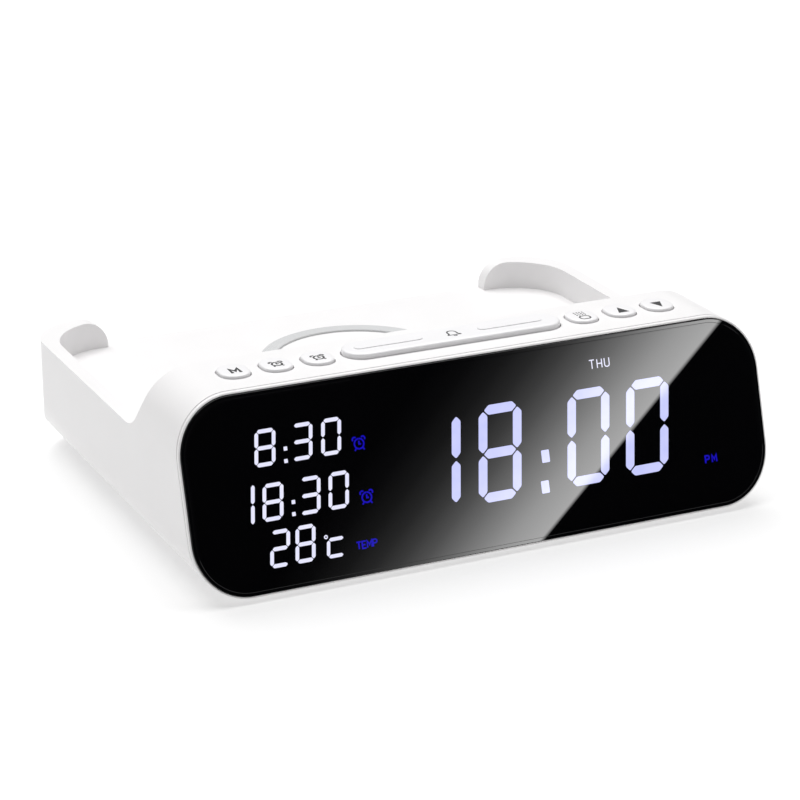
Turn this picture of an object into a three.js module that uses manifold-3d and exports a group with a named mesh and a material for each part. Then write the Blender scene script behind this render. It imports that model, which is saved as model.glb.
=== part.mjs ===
// Bedside clock radio with a wireless-charging phone tray behind its display bar.
// Millimetres, +Z up. The origin is the middle of the footprint on the plane the rubber feet stand on.
// +X runs along the width towards the listener's right, +Y runs to the back.

import * as THREE from 'three';
import { mergeVertices } from 'three/addons/utils/BufferGeometryUtils.js';
import Module from 'manifold-3d';

const wasm = await Module();
wasm.setup();

// Driving dimensions.

const bodyWidth = 182.4;
const bodyBack = 72.86;
const bodyBottom = 1.5;
const bodyTop = 56;
const bodyCorner = 16.5;
const bodyRearCorner = 17.5;
const bodyRearFoot = 3.5;
const bodyWall = 2.2;

const faceTilt = THREE.MathUtils.degToRad(16.5);
const faceY = -65;
const seamDepth = 1.95;

const barBack = -29.7;
const barFillet = 11;
const rimTop = 37.5;
const rimWidth = 4.55;
const trayFront = -18;
const trayFloor = 28.6;
const trayCorner = 18;
const floorThickness = 2.4;
const hornEnd = 66;
const hornRound = 8;

const lensWidth = 181;
const lensHeight = 53.05;
const lensCorner = 15.9;
const lensThickness = 0.9;
const plugInset = 3.9;
const plugDepth = 2.3;
const frameRimFront = 0.4;
const frameFloorFront = 1.1;
const frameFloorBack = 1.6;
const sleeveBack = 5.5;
const sleeveWall = 1.8;

const buttonY = -42.3;
const buttonPitch = 12.65;
const buttonInner = 42;
const buttonSize = [8.8, 10.4];
const buttonCorner = 4.1;
const buttonRise = 0.9;
const snoozeSize = [68.4, 11.6];
const snoozeRise = 1.6;
const snoozeRibRise = 0.3;
const snoozeRibWidth = 3;
const snoozeRibs = [[-30.8, -9.6], [8.1, 28.6]];
const snoozeStemX = 22;
const flangeMargin = 1;
const flangeThickness = 1.2;
const flangeDrop = 0.4;
const switchGap = 0.1;
const switchSize = 6;
const switchHeight = 3.5;
const plungerRadius = 1.6;
const plungerHeight = 1.6;

const boardThickness = 1.6;
const buttonBoardTop = 47;
const buttonBoard = { size: [152, 15], corner: 1.5, y: -40.2 };
const mainBoardBottom = 10.4;
const chargeY = 25;

const speakerX = 46;
const speakerZ = 14.5;
const slotCount = 10;
const slotPitch = 4;
const slotSize = [1.8, 14];

const inletX = -12;
const usbX = 9;
const sensorX = -2.5;
const portMouth = bodyBack - 0.3;

const footRadius = 7;
const footHeight = 2.3;
const footPlaces = [[-62, -52], [62, -52], [-62, 56], [62, 56]];
const screwPlaces = [[-66, -10], [66, -10], [-66, 46], [66, 46]];

const shellSegments = 5;
const barSweepSegments = 6;

const fit = 0.3;
const snug = 0.1;
const beyond = 20;

// Sizes that follow from the ones above.
const halfWidth = bodyWidth / 2;
const bodyMidZ = (bodyTop + bodyBottom) / 2;
const bodyHeight = bodyTop - bodyBottom;
const hollowBottom = bodyBottom + bodyWall;
const hollowTop = bodyTop - bodyWall;
const hollowBack = bodyBack - bodyWall;
const underTray = trayFloor - floorThickness;
const mainBoardTop = mainBoardBottom + boardThickness;
const bodyFront = faceY - (bodyHeight / 2) * Math.tan(faceTilt);

// Finishes.

const finish = (color, roughness, metalness) => (
  new THREE.MeshStandardMaterial({ color, roughness, metalness })
);
const whiteShell = finish(0xf2f1f0, 0.35, 0);
const whiteKey = finish(0xf4f3f2, 0.4, 0);
const smokedLens = finish(0x050507, 0.06, 0);
const darkFoam = finish(0x1d1d1f, 0.95, 0);
const lightBox = finish(0xe9e9e6, 0.6, 0);
const boardGreen = finish(0x1f5a35, 0.5, 0);
const blackPlastic = finish(0x17181a, 0.55, 0);
const greyRubber = finish(0x9a9b9d, 0.85, 0);
const copper = finish(0xb8703c, 0.35, 1);
const ferriteGrey = finish(0x2c2c2e, 0.7, 0.2);
const steel = finish(0xb9bbbe, 0.3, 1);
const paperCone = finish(0x242426, 0.85, 0);

// Solids made from drawn shapes.

const solidOf = (geometry) => {
  const bare = geometry.clone();
  bare.deleteAttribute('normal');
  bare.deleteAttribute('uv');
  const merged = mergeVertices(bare, 1e-4);
  const vertProperties = Float32Array.from(merged.attributes.position.array);
  const triVerts = Uint32Array.from(merged.index.array);
  return new wasm.Manifold(new wasm.Mesh({ numProp: 3, vertProperties, triVerts }));
};

const geometryOf = (solid) => {
  const mesh = solid.getMesh();
  const geometry = new THREE.BufferGeometry();
  geometry.setAttribute('position', new THREE.BufferAttribute(mesh.vertProperties, 3));
  geometry.setIndex(new THREE.BufferAttribute(mesh.triVerts, 1));
  geometry.computeVertexNormals();
  return geometry;
};

const joined = (...solids) => solids.reduce((whole, solid) => whole.add(solid));

const axes = (x, y, z) => new THREE.Matrix4().makeBasis(
  new THREE.Vector3(...x),
  new THREE.Vector3(...y),
  new THREE.Vector3(...z),
);

const extruded = (shape, low, high, basis, curveSegments) => {
  const depth = high - low;
  const geometry = new THREE.ExtrudeGeometry(shape, { depth, bevelEnabled: false, curveSegments });
  geometry.translate(0, 0, low);
  geometry.applyMatrix4(basis);
  return solidOf(geometry);
};

// A shape drawn in X and Y, from one height to another.
const upright = (shape, bottom, top, curveSegments = 3) => (
  extruded(shape, bottom, top, axes([1, 0, 0], [0, 1, 0], [0, 0, 1]), curveSegments)
);

// A shape drawn in X and Z, from front to back.
const lengthwise = (shape, front, back, curveSegments = 2) => (
  extruded(shape, -back, -front, axes([1, 0, 0], [0, 0, 1], [0, -1, 0]), curveSegments)
);

// A shape drawn in Y and Z, from left to right.
const sideways = (shape, left, right, curveSegments = 3) => (
  extruded(shape, left, right, axes([0, 1, 0], [0, 0, 1], [1, 0, 0]), curveSegments)
);

// A shape drawn on the leaning display face, between two depths behind it.
const leaning = (shape, depth, front, curveSegments = 3) => {
  const sine = Math.sin(faceTilt);
  const cosine = Math.cos(faceTilt);
  const basis = axes([1, 0, 0], [0, sine, cosine], [0, -cosine, sine]);
  basis.setPosition(0, faceY, bodyMidZ);
  return extruded(shape, -depth, -front, basis, curveSegments);
};

const roundedRect = (width, height, radius, x = 0, y = 0) => {
  const right = x + width / 2;
  const left = x - width / 2;
  const top = y + height / 2;
  const bottom = y - height / 2;
  const quarter = Math.PI / 2;
  const shape = new THREE.Shape();
  shape.moveTo(left + radius, bottom);
  shape.lineTo(right - radius, bottom);
  shape.absarc(right - radius, bottom + radius, radius, -quarter, 0);
  shape.lineTo(right, top - radius);
  shape.absarc(right - radius, top - radius, radius, 0, quarter);
  shape.lineTo(left + radius, top);
  shape.absarc(left + radius, top - radius, radius, quarter, 2 * quarter);
  shape.lineTo(left, bottom + radius);
  shape.absarc(left + radius, bottom + radius, radius, 2 * quarter, 3 * quarter);
  return shape;
};

const rect = (left, bottom, right, top) => {
  const shape = new THREE.Shape();
  shape.moveTo(left, bottom);
  shape.lineTo(right, bottom);
  shape.lineTo(right, top);
  shape.lineTo(left, top);
  return shape;
};

const centredRect = (width, height, x, y) => (
  rect(x - width / 2, y - height / 2, x + width / 2, y + height / 2)
);

const standingCylinder = (radius, bottom, top, x, y, segments = 14) => {
  const geometry = new THREE.CylinderGeometry(radius, radius, top - bottom, segments);
  geometry.rotateX(Math.PI / 2);
  geometry.translate(x, y, (top + bottom) / 2);
  return solidOf(geometry);
};

const lyingCylinder = (radius, front, back, x, z, segments = 16) => {
  const geometry = new THREE.CylinderGeometry(radius, radius, back - front, segments);
  geometry.translate(x, (front + back) / 2, z);
  return solidOf(geometry);
};

// The slab between two planes parallel to the display face.
const faceSlab = (depth, front) => leaning(centredRect(2 * bodyWidth, 2 * bodyWidth, 0, 0), depth, front);

// A tunnel with the body's own section, drawn in by an inset, cut by a slab behind the display face.
const sectionSlab = (width, height, radius, depth, front, curveSegments = 5) => (
  lengthwise(roundedRect(width, height, radius, 0, bodyMidZ), bodyFront - beyond, 0, curveSegments)
    .intersect(faceSlab(depth, front))
);

const clockRadio = new THREE.Group();

const part = (name, solid, material) => {
  const mesh = new THREE.Mesh(geometryOf(solid), material);
  mesh.name = name;
  clockRadio.add(mesh);
};

// Keys along the bar.

const keys = [
  { name: 'mode', x: -buttonInner - 2 * buttonPitch },
  { name: 'alarm1', x: -buttonInner - buttonPitch },
  { name: 'alarm2', x: -buttonInner },
  { name: 'light', x: buttonInner },
  { name: 'up', x: buttonInner + buttonPitch },
  { name: 'down', x: buttonInner + 2 * buttonPitch },
];

const keyShape = (x, margin) => (
  roundedRect(buttonSize[0] + 2 * margin, buttonSize[1] + 2 * margin, buttonCorner + margin, x, buttonY)
);

const snoozeShape = (margin) => {
  const length = snoozeSize[0] + 2 * margin;
  const depth = snoozeSize[1] + 2 * margin;
  return roundedRect(length, depth, depth / 2 - 0.01, 0, buttonY);
};

// Main housing.

// Plan of the body with both rear corners rounded.
const planShape = (inset, radius) => {
  const x = halfWidth - inset;
  const back = bodyBack - inset;
  const shape = new THREE.Shape();
  shape.moveTo(-x, bodyFront - beyond);
  shape.lineTo(x, bodyFront - beyond);
  shape.lineTo(x, back - radius);
  shape.absarc(x - radius, back - radius, radius, 0, Math.PI / 2);
  shape.lineTo(-x + radius, back);
  shape.absarc(-x + radius, back - radius, radius, Math.PI / 2, Math.PI);
  return shape;
};

// Side view of the body with the bottom edge of its back rounded.
const roundedRearFoot = () => {
  const centreY = bodyBack - bodyRearFoot;
  const centreZ = bodyBottom + bodyRearFoot;
  const shape = new THREE.Shape();
  shape.moveTo(bodyFront - beyond, bodyBottom);
  shape.lineTo(centreY, bodyBottom);
  shape.absarc(centreY, centreZ, bodyRearFoot, -Math.PI / 2, 0);
  shape.lineTo(bodyBack, bodyTop + beyond);
  shape.lineTo(bodyFront - beyond, bodyTop + beyond);
  return sideways(shape, -bodyWidth, bodyWidth);
};

const bodyShell = (inset) => {
  const width = bodyWidth - 2 * inset;
  const section = roundedRect(width, bodyHeight - 2 * inset, bodyCorner - inset, 0, bodyMidZ);
  return lengthwise(section, bodyFront - beyond, bodyBack - inset, shellSegments)
    .intersect(upright(planShape(inset, bodyRearCorner - inset), 0, bodyTop + beyond, shellSegments));
};

// Everything above the rim behind the bar, with the wide hollow sweep at the bar's foot.
const aboveRim = () => {
  const shape = new THREE.Shape();
  shape.moveTo(barBack, bodyTop + beyond);
  shape.lineTo(barBack, rimTop + barFillet);
  shape.absarc(barBack + barFillet, rimTop + barFillet, barFillet, Math.PI, 1.5 * Math.PI);
  shape.lineTo(bodyBack + beyond, rimTop);
  shape.lineTo(bodyBack + beyond, bodyTop + beyond);
  return sideways(shape, -bodyWidth, bodyWidth, barSweepSegments);
};

const trayPocket = () => {
  const back = bodyBack - rimWidth;
  const width = bodyWidth - 2 * rimWidth;
  const pocket = roundedRect(width, back - trayFront, trayCorner, 0, (back + trayFront) / 2);
  return upright(pocket, trayFloor, bodyTop + beyond, shellSegments);
};

// The low stretch of the rear wall between the two horns, whose ends roll down to the floor.
const rearGap = () => {
  const shape = new THREE.Shape();
  shape.moveTo(hornEnd, trayFloor);
  shape.lineTo(hornEnd, rimTop - hornRound);
  shape.absarc(hornEnd + hornRound, rimTop - hornRound, hornRound, Math.PI, Math.PI / 2, true);
  shape.lineTo(hornEnd + hornRound, rimTop + beyond);
  shape.lineTo(-hornEnd - hornRound, rimTop + beyond);
  shape.lineTo(-hornEnd - hornRound, rimTop);
  shape.absarc(-hornEnd - hornRound, rimTop - hornRound, hornRound, Math.PI / 2, 0, true);
  shape.lineTo(-hornEnd, trayFloor);
  return lengthwise(shape, bodyBack - 2 * rimWidth, bodyBack + beyond, 3);
};

// The room inside: under the tray, under its front ledge, and up into the bar.
const hollow = () => {
  const shape = new THREE.Shape();
  const ledgeBack = trayFront - bodyWall;
  const ledgeRoof = rimTop - bodyWall;
  const barInside = barBack - bodyWall;
  shape.moveTo(bodyFront - beyond, hollowBottom - snug);
  shape.lineTo(hollowBack + snug, hollowBottom - snug);
  shape.lineTo(hollowBack + snug, underTray);
  shape.lineTo(ledgeBack, underTray);
  shape.lineTo(ledgeBack, ledgeRoof);
  shape.lineTo(barInside, ledgeRoof);
  shape.lineTo(barInside, hollowTop + snug);
  shape.lineTo(bodyFront - beyond, hollowTop + snug);
  return sideways(shape, -bodyWidth, bodyWidth).intersect(bodyShell(bodyWall));
};

// The bottom opening has a step, so the base cover rests against a ledge from below.
const baseMiddleY = 2;
const baseSize = [146, 128];
const baseCorner = 8;
const baseStep = 2;
const baseStepZ = 2.8;
const baseShape = (inset) => (
  roundedRect(baseSize[0] - 2 * inset, baseSize[1] - 2 * inset, baseCorner - inset, 0, baseMiddleY)
);

const baseOpening = () => joined(
  upright(baseShape(-fit), -beyond, baseStepZ),
  upright(baseShape(baseStep - fit), -beyond, hollowBottom + snug),
);

const screwBossRadius = 3.4;
const screwCup = { radius: 4.4, top: 5.5, headRoom: 3, headTop: 4, hole: 1.6 };
const screw = { headRadius: 2.6, headBottom: 2.3, headTop: 3.9, radius: 1.25, tip: 14, socketRadius: 1.3 };
const bossBottom = screwCup.top + fit;
const boardPost = { radius: 1.6, y: -33.4, x: [-72, -24, 24, 72] };
const chargerPost = { radius: 2, x: 31, y: 24 };
const chargerBoardBottom = 19.4;

const screwBosses = () => joined(...screwPlaces.map(([x, y]) => (
  standingCylinder(screwBossRadius, bossBottom, underTray + 1, x, y)
    .subtract(standingCylinder(screw.radius + 2 * snug, bossBottom - 1, screw.tip + 1, x, y, 8))
)));

const boardPosts = () => joined(...boardPost.x.map((x) => (
  standingCylinder(boardPost.radius, buttonBoardTop + snug, hollowTop + 1, x, boardPost.y, 8)
)));

const chargerPosts = () => joined(...[-1, 1].flatMap((side) => [-1, 1].map((end) => (
  standingCylinder(
    chargerPost.radius,
    chargerBoardBottom + boardThickness + snug,
    underTray + 1,
    side * chargerPost.x,
    chargeY + end * chargerPost.y,
    8,
  )
))));

const keyHoles = () => joined(
  upright(snoozeShape(fit), hollowTop - 1, bodyTop + beyond, 4),
  ...keys.map(({ x }) => upright(keyShape(x, fit), hollowTop - 1, bodyTop + beyond, 2)),
);

const speakerSlots = () => joined(...[-1, 1].flatMap((side) => (
  Array.from({ length: slotCount }, (_, i) => {
    const x = side * speakerX + (i - (slotCount - 1) / 2) * slotPitch;
    return lengthwise(centredRect(...slotSize, x, speakerZ), hollowBack - 1, bodyBack + beyond);
  })
)));

const usbShell = { width: 13.2, height: 6, corner: 0.7, length: 14, wall: 0.4, tongue: [11, 1.8] };
const inletShell = { width: 9, height: 3.2, corner: 1.55, length: 8, wall: 0.35, tongue: [6.7, 0.7] };
const ventRadius = 1.2;
const sensorZ = 15;

const portHole = ({ width, height, corner }, x) => {
  const z = mainBoardTop + snug + height / 2;
  return lengthwise(
    roundedRect(width + 2 * fit, height + 2 * fit, corner + fit, x, z),
    hollowBack - 1,
    bodyBack + beyond,
  );
};

const portHoles = () => joined(
  portHole(usbShell, usbX),
  portHole(inletShell, inletX),
  lyingCylinder(ventRadius, hollowBack - 1, bodyBack + beyond, sensorX, sensorZ, 12),
);

const housing = bodyShell(0)
  .intersect(faceSlab(2 * bodyWidth, seamDepth))
  .intersect(roundedRearFoot())
  .subtract(hollow())
  .subtract(aboveRim())
  .subtract(trayPocket())
  .subtract(rearGap())
  .subtract(baseOpening())
  .subtract(keyHoles())
  .subtract(speakerSlots())
  .subtract(portHoles())
  .add(screwBosses())
  .add(boardPosts())
  .add(chargerPosts());
part('main_housing', housing, whiteShell);

// Base cover, feet and screws.

const standoff = { radius: 2.4, x: 50, front: -40, back: 30 };

const standoffs = () => joined(...[-1, 1].flatMap((side) => [standoff.front, standoff.back].map((y) => (
  standingCylinder(standoff.radius, hollowBottom - 1, mainBoardBottom - snug, side * standoff.x, y, 8)
))));

const screwCups = () => joined(...screwPlaces.map(([x, y]) => (
  standingCylinder(screwCup.radius, baseStepZ - fit, screwCup.top, x, y)
)));

const coverHollows = () => joined(
  ...screwPlaces.map(([x, y]) => standingCylinder(screwCup.headRoom, 0, screwCup.headTop, x, y)),
  ...screwPlaces.map(([x, y]) => standingCylinder(screwCup.hole, 0, screwCup.top + 1, x, y, 8)),
  ...footPlaces.map(([x, y]) => standingCylinder(footRadius + fit, 0, footHeight + snug, x, y, 20)),
);

const baseCover = upright(baseShape(0), bodyBottom, baseStepZ - fit)
  .add(upright(baseShape(baseStep), bodyBottom, hollowBottom))
  .add(standoffs())
  .add(screwCups())
  .subtract(coverHollows());
part('base_cover', baseCover, whiteShell);

const foot = (x, y) => {
  const geometry = new THREE.CylinderGeometry(footRadius, footRadius - 0.5, footHeight, 20);
  geometry.rotateX(Math.PI / 2);
  geometry.translate(x, y, footHeight / 2);
  return solidOf(geometry);
};

footPlaces.forEach(([x, y], i) => part(`foot_${i + 1}`, foot(x, y), darkFoam));

const caseScrew = (x, y) => joined(
  standingCylinder(screw.headRadius, screw.headBottom, screw.headTop, x, y),
  standingCylinder(screw.radius, screw.headTop - 0.5, screw.tip, x, y, 8),
).subtract(standingCylinder(screw.socketRadius, screw.headBottom - 1, screw.headBottom + 0.9, x, y, 6));

screwPlaces.forEach(([x, y], i) => part(`case_screw_${i + 1}`, caseScrew(x, y), steel));

// Front frame, lens and display.

const frameRim = sectionSlab(bodyWidth, bodyHeight, bodyCorner, frameFloorBack, frameRimFront);
const sleeveInset = bodyWall + fit;
const sleeve = sectionSlab(
  bodyWidth - 2 * sleeveInset,
  bodyHeight - 2 * sleeveInset,
  bodyCorner - sleeveInset,
  sleeveBack,
  frameFloorBack - 0.2,
);
const openingInset = sleeveInset + sleeveWall;
const frameOpening = sectionSlab(
  bodyWidth - 2 * openingInset,
  bodyHeight - 2 * openingInset,
  bodyCorner - openingInset,
  sleeveBack + beyond,
  -beyond,
);
const lensRecess = sectionSlab(
  lensWidth + fit,
  lensHeight + fit,
  lensCorner + fit / 2,
  frameFloorFront,
  -beyond,
);
part('front_frame', frameRim.add(sleeve).subtract(frameOpening).subtract(lensRecess), whiteShell);

const lensFace = sectionSlab(lensWidth, lensHeight, lensCorner, lensThickness, 0);
const lensPlug = sectionSlab(
  lensWidth - 2 * plugInset,
  lensHeight - 2 * plugInset,
  lensCorner - plugInset,
  plugDepth,
  lensThickness / 2,
);
part('display_lens', lensFace.add(lensPlug), smokedLens);

// Width, height and corner radius of each layer behind the lens, and how thick the layers are.
const gasketOutside = [172, 44, 11];
const gasketInside = [165, 38, 8];
const reflectorOutline = [166, 43.5, 8];
const ledBoardOutline = [168, 43.5, 6];
const layerGap = 0.2;
const gasketThickness = 0.6;
const reflectorThickness = 4.4;

const gasketFront = plugDepth + layerGap;
const gasketBack = gasketFront + gasketThickness;
const gasketRing = sectionSlab(...gasketOutside, gasketBack, gasketFront, 4)
  .subtract(sectionSlab(...gasketInside, gasketBack + 1, gasketFront - 1, 4));
part('display_gasket', gasketRing, darkFoam);

// Light wells behind the digits: place and size on the leaning face.
const smallRows = [{ y: 11.4, xs: [-66, -54.6, -46.6] }, { y: -3, xs: [-72, -66, -54.6, -46.6] }];
const wells = [
  ...smallRows.flatMap(({ y, xs }) => xs.map((x) => ({ x, y, width: 6.4, height: 11.4 }))),
  ...[-65.5, -58, -49.5].map((x) => ({ x, y: -16, width: 6, height: 10 })),
  ...[8.7, -6.1].map((y) => ({ x: -38.6, y, width: 6, height: 5.4 })),
  { x: -40, y: -19, width: 8, height: 4 },
  ...[-10.2, 5.2, 33, 52.3].map((x, i) => ({ x, y: -0.3, width: i === 0 ? 5.5 : 16.5, height: 29 })),
  { x: 17.4, y: -8.2, width: 4.6, height: 14 },
  { x: 39, y: 19.4, width: 9, height: 3.6 },
  { x: 72, y: -13.2, width: 8, height: 4 },
];
const reflectorFront = gasketBack + layerGap;
const reflectorBack = reflectorFront + reflectorThickness;
const ledBoardFront = reflectorBack + layerGap;
const ledBoardBack = ledBoardFront + boardThickness;

const lightWells = () => joined(...wells.map(({ x, y, width, height }) => (
  leaning(centredRect(width, height, x, y), reflectorBack + 1, reflectorFront - 1)
)));
const reflector = sectionSlab(...reflectorOutline, reflectorBack, reflectorFront, 3).subtract(lightWells());
part('led_reflector', reflector, lightBox);

const ledChips = () => joined(...wells.map(({ x, y, width, height }) => (
  leaning(centredRect(width / 3, height / 3, x, y), ledBoardFront + 0.3, ledBoardFront - 0.7)
)));
const ledBoard = sectionSlab(...ledBoardOutline, ledBoardBack, ledBoardFront, 3).add(ledChips());
part('led_board', ledBoard, boardGreen);

// Buttons, snooze bar and their switches.

const capBottom = hollowTop - flangeDrop - 0.5;
const flangeTop = hollowTop - flangeDrop;
const flangeBottom = flangeTop - flangeThickness;
const switchBottom = buttonBoardTop + snug;
const switchTop = switchBottom + switchHeight;
const plungerWellDepth = 1.4;
const plungerBottom = switchTop - 0.5;
const plungerTop = plungerBottom + plungerHeight;
const stemRadius = 1.5;

const stem = (x) => standingCylinder(stemRadius, plungerTop + switchGap, flangeBottom + 0.5, x, buttonY, 8);

const button = (x) => joined(
  upright(keyShape(x, 0), capBottom, bodyTop + buttonRise, 2),
  upright(keyShape(x, flangeMargin), flangeBottom, flangeTop, 2),
  stem(x),
);

const snoozeRib = ([left, right]) => {
  const corner = snoozeRibWidth / 2 - 0.01;
  const shape = roundedRect(right - left, snoozeRibWidth, corner, (left + right) / 2, buttonY);
  return upright(shape, bodyTop + snoozeRise - 0.5, bodyTop + snoozeRise + snoozeRibRise, 3);
};

const snoozeBar = joined(
  upright(snoozeShape(0), capBottom, bodyTop + snoozeRise, 4),
  upright(snoozeShape(flangeMargin), flangeBottom, flangeTop, 3),
  ...snoozeRibs.map(snoozeRib),
  stem(-snoozeStemX),
  stem(snoozeStemX),
);

const switchHousing = (x) => {
  const wellBottom = switchTop - plungerWellDepth;
  return upright(centredRect(switchSize, switchSize, x, buttonY), switchBottom, switchTop)
    .subtract(standingCylinder(plungerRadius + fit, wellBottom, switchTop + 1, x, buttonY, 8));
};

const plunger = (x) => standingCylinder(plungerRadius, plungerBottom, plungerTop, x, buttonY, 8);

keys.forEach(({ name, x }) => part(`${name}_button`, button(x), whiteKey));
part('snooze_bar', snoozeBar, whiteKey);

const switches = [
  ...keys,
  { name: 'snooze_left', x: -snoozeStemX },
  { name: 'snooze_right', x: snoozeStemX },
];
switches.forEach(({ name, x }) => part(`${name}_switch`, switchHousing(x), blackPlastic));
switches.forEach(({ name, x }) => part(`${name}_plunger`, plunger(x), steel));

const buttonBoardShape = roundedRect(...buttonBoard.size, buttonBoard.corner, 0, buttonBoard.y);
part('button_board', upright(buttonBoardShape, buttonBoardTop - boardThickness, buttonBoardTop), boardGreen);

// Main board and what it carries.

const boardHalf = 58;
const boardFront = -48;
const boardBack = 38;
const tongueHalf = 21;
const tongueBack = 69;

const mainBoardShape = () => {
  const shape = new THREE.Shape();
  shape.moveTo(-boardHalf, boardFront);
  shape.lineTo(boardHalf, boardFront);
  shape.lineTo(boardHalf, boardBack);
  shape.lineTo(tongueHalf, boardBack);
  shape.lineTo(tongueHalf, tongueBack);
  shape.lineTo(-tongueHalf, tongueBack);
  shape.lineTo(-tongueHalf, boardBack);
  shape.lineTo(-boardHalf, boardBack);
  return shape;
};

const chips = [
  { x: -22, y: -12, size: [14, 14], height: 1.6 },
  { x: -44, y: 8, size: [12, 10], height: 2.4 },
  { x: 8, y: -22, size: [10, 8], height: 1.5 },
  { x: 2, y: 40, size: [8, 8], height: 4 },
];
const boardChips = () => joined(...chips.map(({ x, y, size, height }) => (
  upright(centredRect(...size, x, y), mainBoardTop - 0.5, mainBoardTop + height)
)));
const mainBoard = upright(mainBoardShape(), mainBoardBottom, mainBoardTop).add(boardChips());
part('main_board', mainBoard, boardGreen);

const cell = { x: 34, y: 8, radius: 10, height: 3.2 };
const holderBottom = mainBoardTop + snug;
const holderFloor = holderBottom + 0.8;
const holderTop = holderFloor + cell.height;
const holder = standingCylinder(cell.radius + 1.8, holderBottom, holderTop, cell.x, cell.y, 20)
  .subtract(standingCylinder(cell.radius + fit, holderFloor, holderFloor + beyond, cell.x, cell.y, 20));
part('cell_holder', holder, blackPlastic);

const cellBottom = holderFloor + snug;
const cellSolid = standingCylinder(cell.radius, cellBottom, cellBottom + cell.height, cell.x, cell.y, 20);
part('backup_cell', cellSolid, steel);

const socket = ({ width, height, corner, length, wall, tongue }, x) => {
  const z = mainBoardTop + snug + height / 2;
  const front = portMouth - length;
  const outer = roundedRect(width, height, corner, x, z);
  const inner = roundedRect(width - 2 * wall, height - 2 * wall, corner - wall, x, z);
  return lengthwise(outer, front, portMouth)
    .subtract(lengthwise(inner, front + 1.2, portMouth + 1))
    .add(lengthwise(centredRect(...tongue, x, z), front + 1, portMouth - 1));
};

part('usb_port', socket(usbShell, usbX), steel);
part('power_inlet', socket(inletShell, inletX), steel);

const sensorSize = [3, 1.6];
const sensorShape = centredRect(...sensorSize, sensorX, tongueBack - 1);
const sensorBead = upright(sensorShape, mainBoardTop + snug, sensorZ + 1.8);
part('temperature_sensor', sensorBead, blackPlastic);

const antennaBack = barBack - bodyWall - 0.2;
const antenna = { half: 60, bottom: 38, top: 44, thickness: 0.6 };
const antennaStrip = lengthwise(
  rect(-antenna.half, antenna.bottom, antenna.half, antenna.top),
  antennaBack - antenna.thickness,
  antennaBack,
);
part('antenna_strip', antennaStrip, copper);

// Wireless charging.

const coil = { outer: 25, inner: 10, top: underTray - 0.3, height: 1.4 };
const coilRing = standingCylinder(coil.outer, coil.top - coil.height, coil.top, 0, chargeY, 24)
  .subtract(standingCylinder(coil.inner, 0, bodyTop, 0, chargeY, 16));
part('charging_coil', coilRing, copper);

const ferrite = { side: 54, corner: 3, top: coil.top - coil.height - 0.2, thickness: 1 };
const ferriteShape = roundedRect(ferrite.side, ferrite.side, ferrite.corner, 0, chargeY);
part('ferrite_plate', upright(ferriteShape, ferrite.top - ferrite.thickness, ferrite.top, 2), ferriteGrey);

const chargerBoardSize = [68, 54];
const chargerBoardCorner = 2;
const chargerChips = [
  { x: -12, y: chargeY, side: 10, height: 1.5 },
  { x: 16, y: chargeY + 8, side: 7, height: 2 },
];
const chargerBoardShape = roundedRect(...chargerBoardSize, chargerBoardCorner, 0, chargeY);
const chargerBoard = joined(
  upright(chargerBoardShape, chargerBoardBottom, chargerBoardBottom + boardThickness, 2),
  ...chargerChips.map(({ x, y, side, height }) => (
    upright(centredRect(side, side, x, y), chargerBoardBottom - height, chargerBoardBottom + 0.5)
  )),
);
part('charger_board', chargerBoard, boardGreen);

const pad = { outer: 30, inner: 25.5, thickness: 0.75 };
const padBottom = trayFloor + 0.05;
const padRing = standingCylinder(pad.outer, padBottom, padBottom + pad.thickness, 0, chargeY, 32)
  .subtract(standingCylinder(pad.inner, 0, bodyTop, 0, chargeY, 32));
part('charging_pad', padRing, greyRubber);

// Rear speakers.

const speaker = {
  flange: [44, 21],
  flangeThickness: 1.4,
  shell: [40, 18],
  window: [37.4, 15.4],
  shellDepth: 8.5,
  backPlate: 1.2,
  throat: 7,
  magnetRadius: 9,
  magnetDepth: 7,
  gapInner: 5.4,
  gapOuter: 6.8,
  gapDepth: 4,
  bobbin: [5.9, 6.3],
  diaphragm: [36.4, 14.4],
  recess: 1.8,
};
const gasketOpening = [38.5, 16.5];
const speakerGasketBack = hollowBack - snug;
const speakerGasketFront = speakerGasketBack - 0.8;
const flangeBack = speakerGasketFront - snug;
const flangeFront = flangeBack - speaker.flangeThickness;
const shellFront = flangeFront - speaker.shellDepth;
const magnetBack = shellFront - 0.2;

const oval = ([width, height], x) => roundedRect(width, height, height / 2 - 0.5, x, speakerZ);

const speakerGasket = (x) => lengthwise(oval(speaker.flange, x), speakerGasketFront, speakerGasketBack)
  .subtract(lengthwise(oval(gasketOpening, x), speakerGasketFront - 1, speakerGasketBack + 1));

const speakerBasket = (x) => lengthwise(oval(speaker.flange, x), flangeFront, flangeBack)
  .add(lengthwise(oval(speaker.shell, x), shellFront, flangeFront + 0.5))
  .subtract(lengthwise(oval(speaker.window, x), shellFront + speaker.backPlate, flangeBack + 1))
  .subtract(lyingCylinder(speaker.throat, shellFront - 1, shellFront + 2, x, speakerZ));

// A steel cup with a ring-shaped gap for the voice coil.
const speakerMagnet = (x) => {
  const { magnetRadius, magnetDepth, gapInner, gapOuter, gapDepth } = speaker;
  const profile = [
    [0, 0],
    [magnetRadius, 0],
    [magnetRadius, magnetDepth],
    [gapOuter, magnetDepth],
    [gapOuter, magnetDepth - gapDepth],
    [gapInner, magnetDepth - gapDepth],
    [gapInner, magnetDepth],
    [0, magnetDepth],
  ].map(([radius, height]) => new THREE.Vector2(radius, height));
  const geometry = new THREE.LatheGeometry(profile, 16);
  geometry.translate(x, magnetBack - magnetDepth, speakerZ);
  return solidOf(geometry);
};

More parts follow.
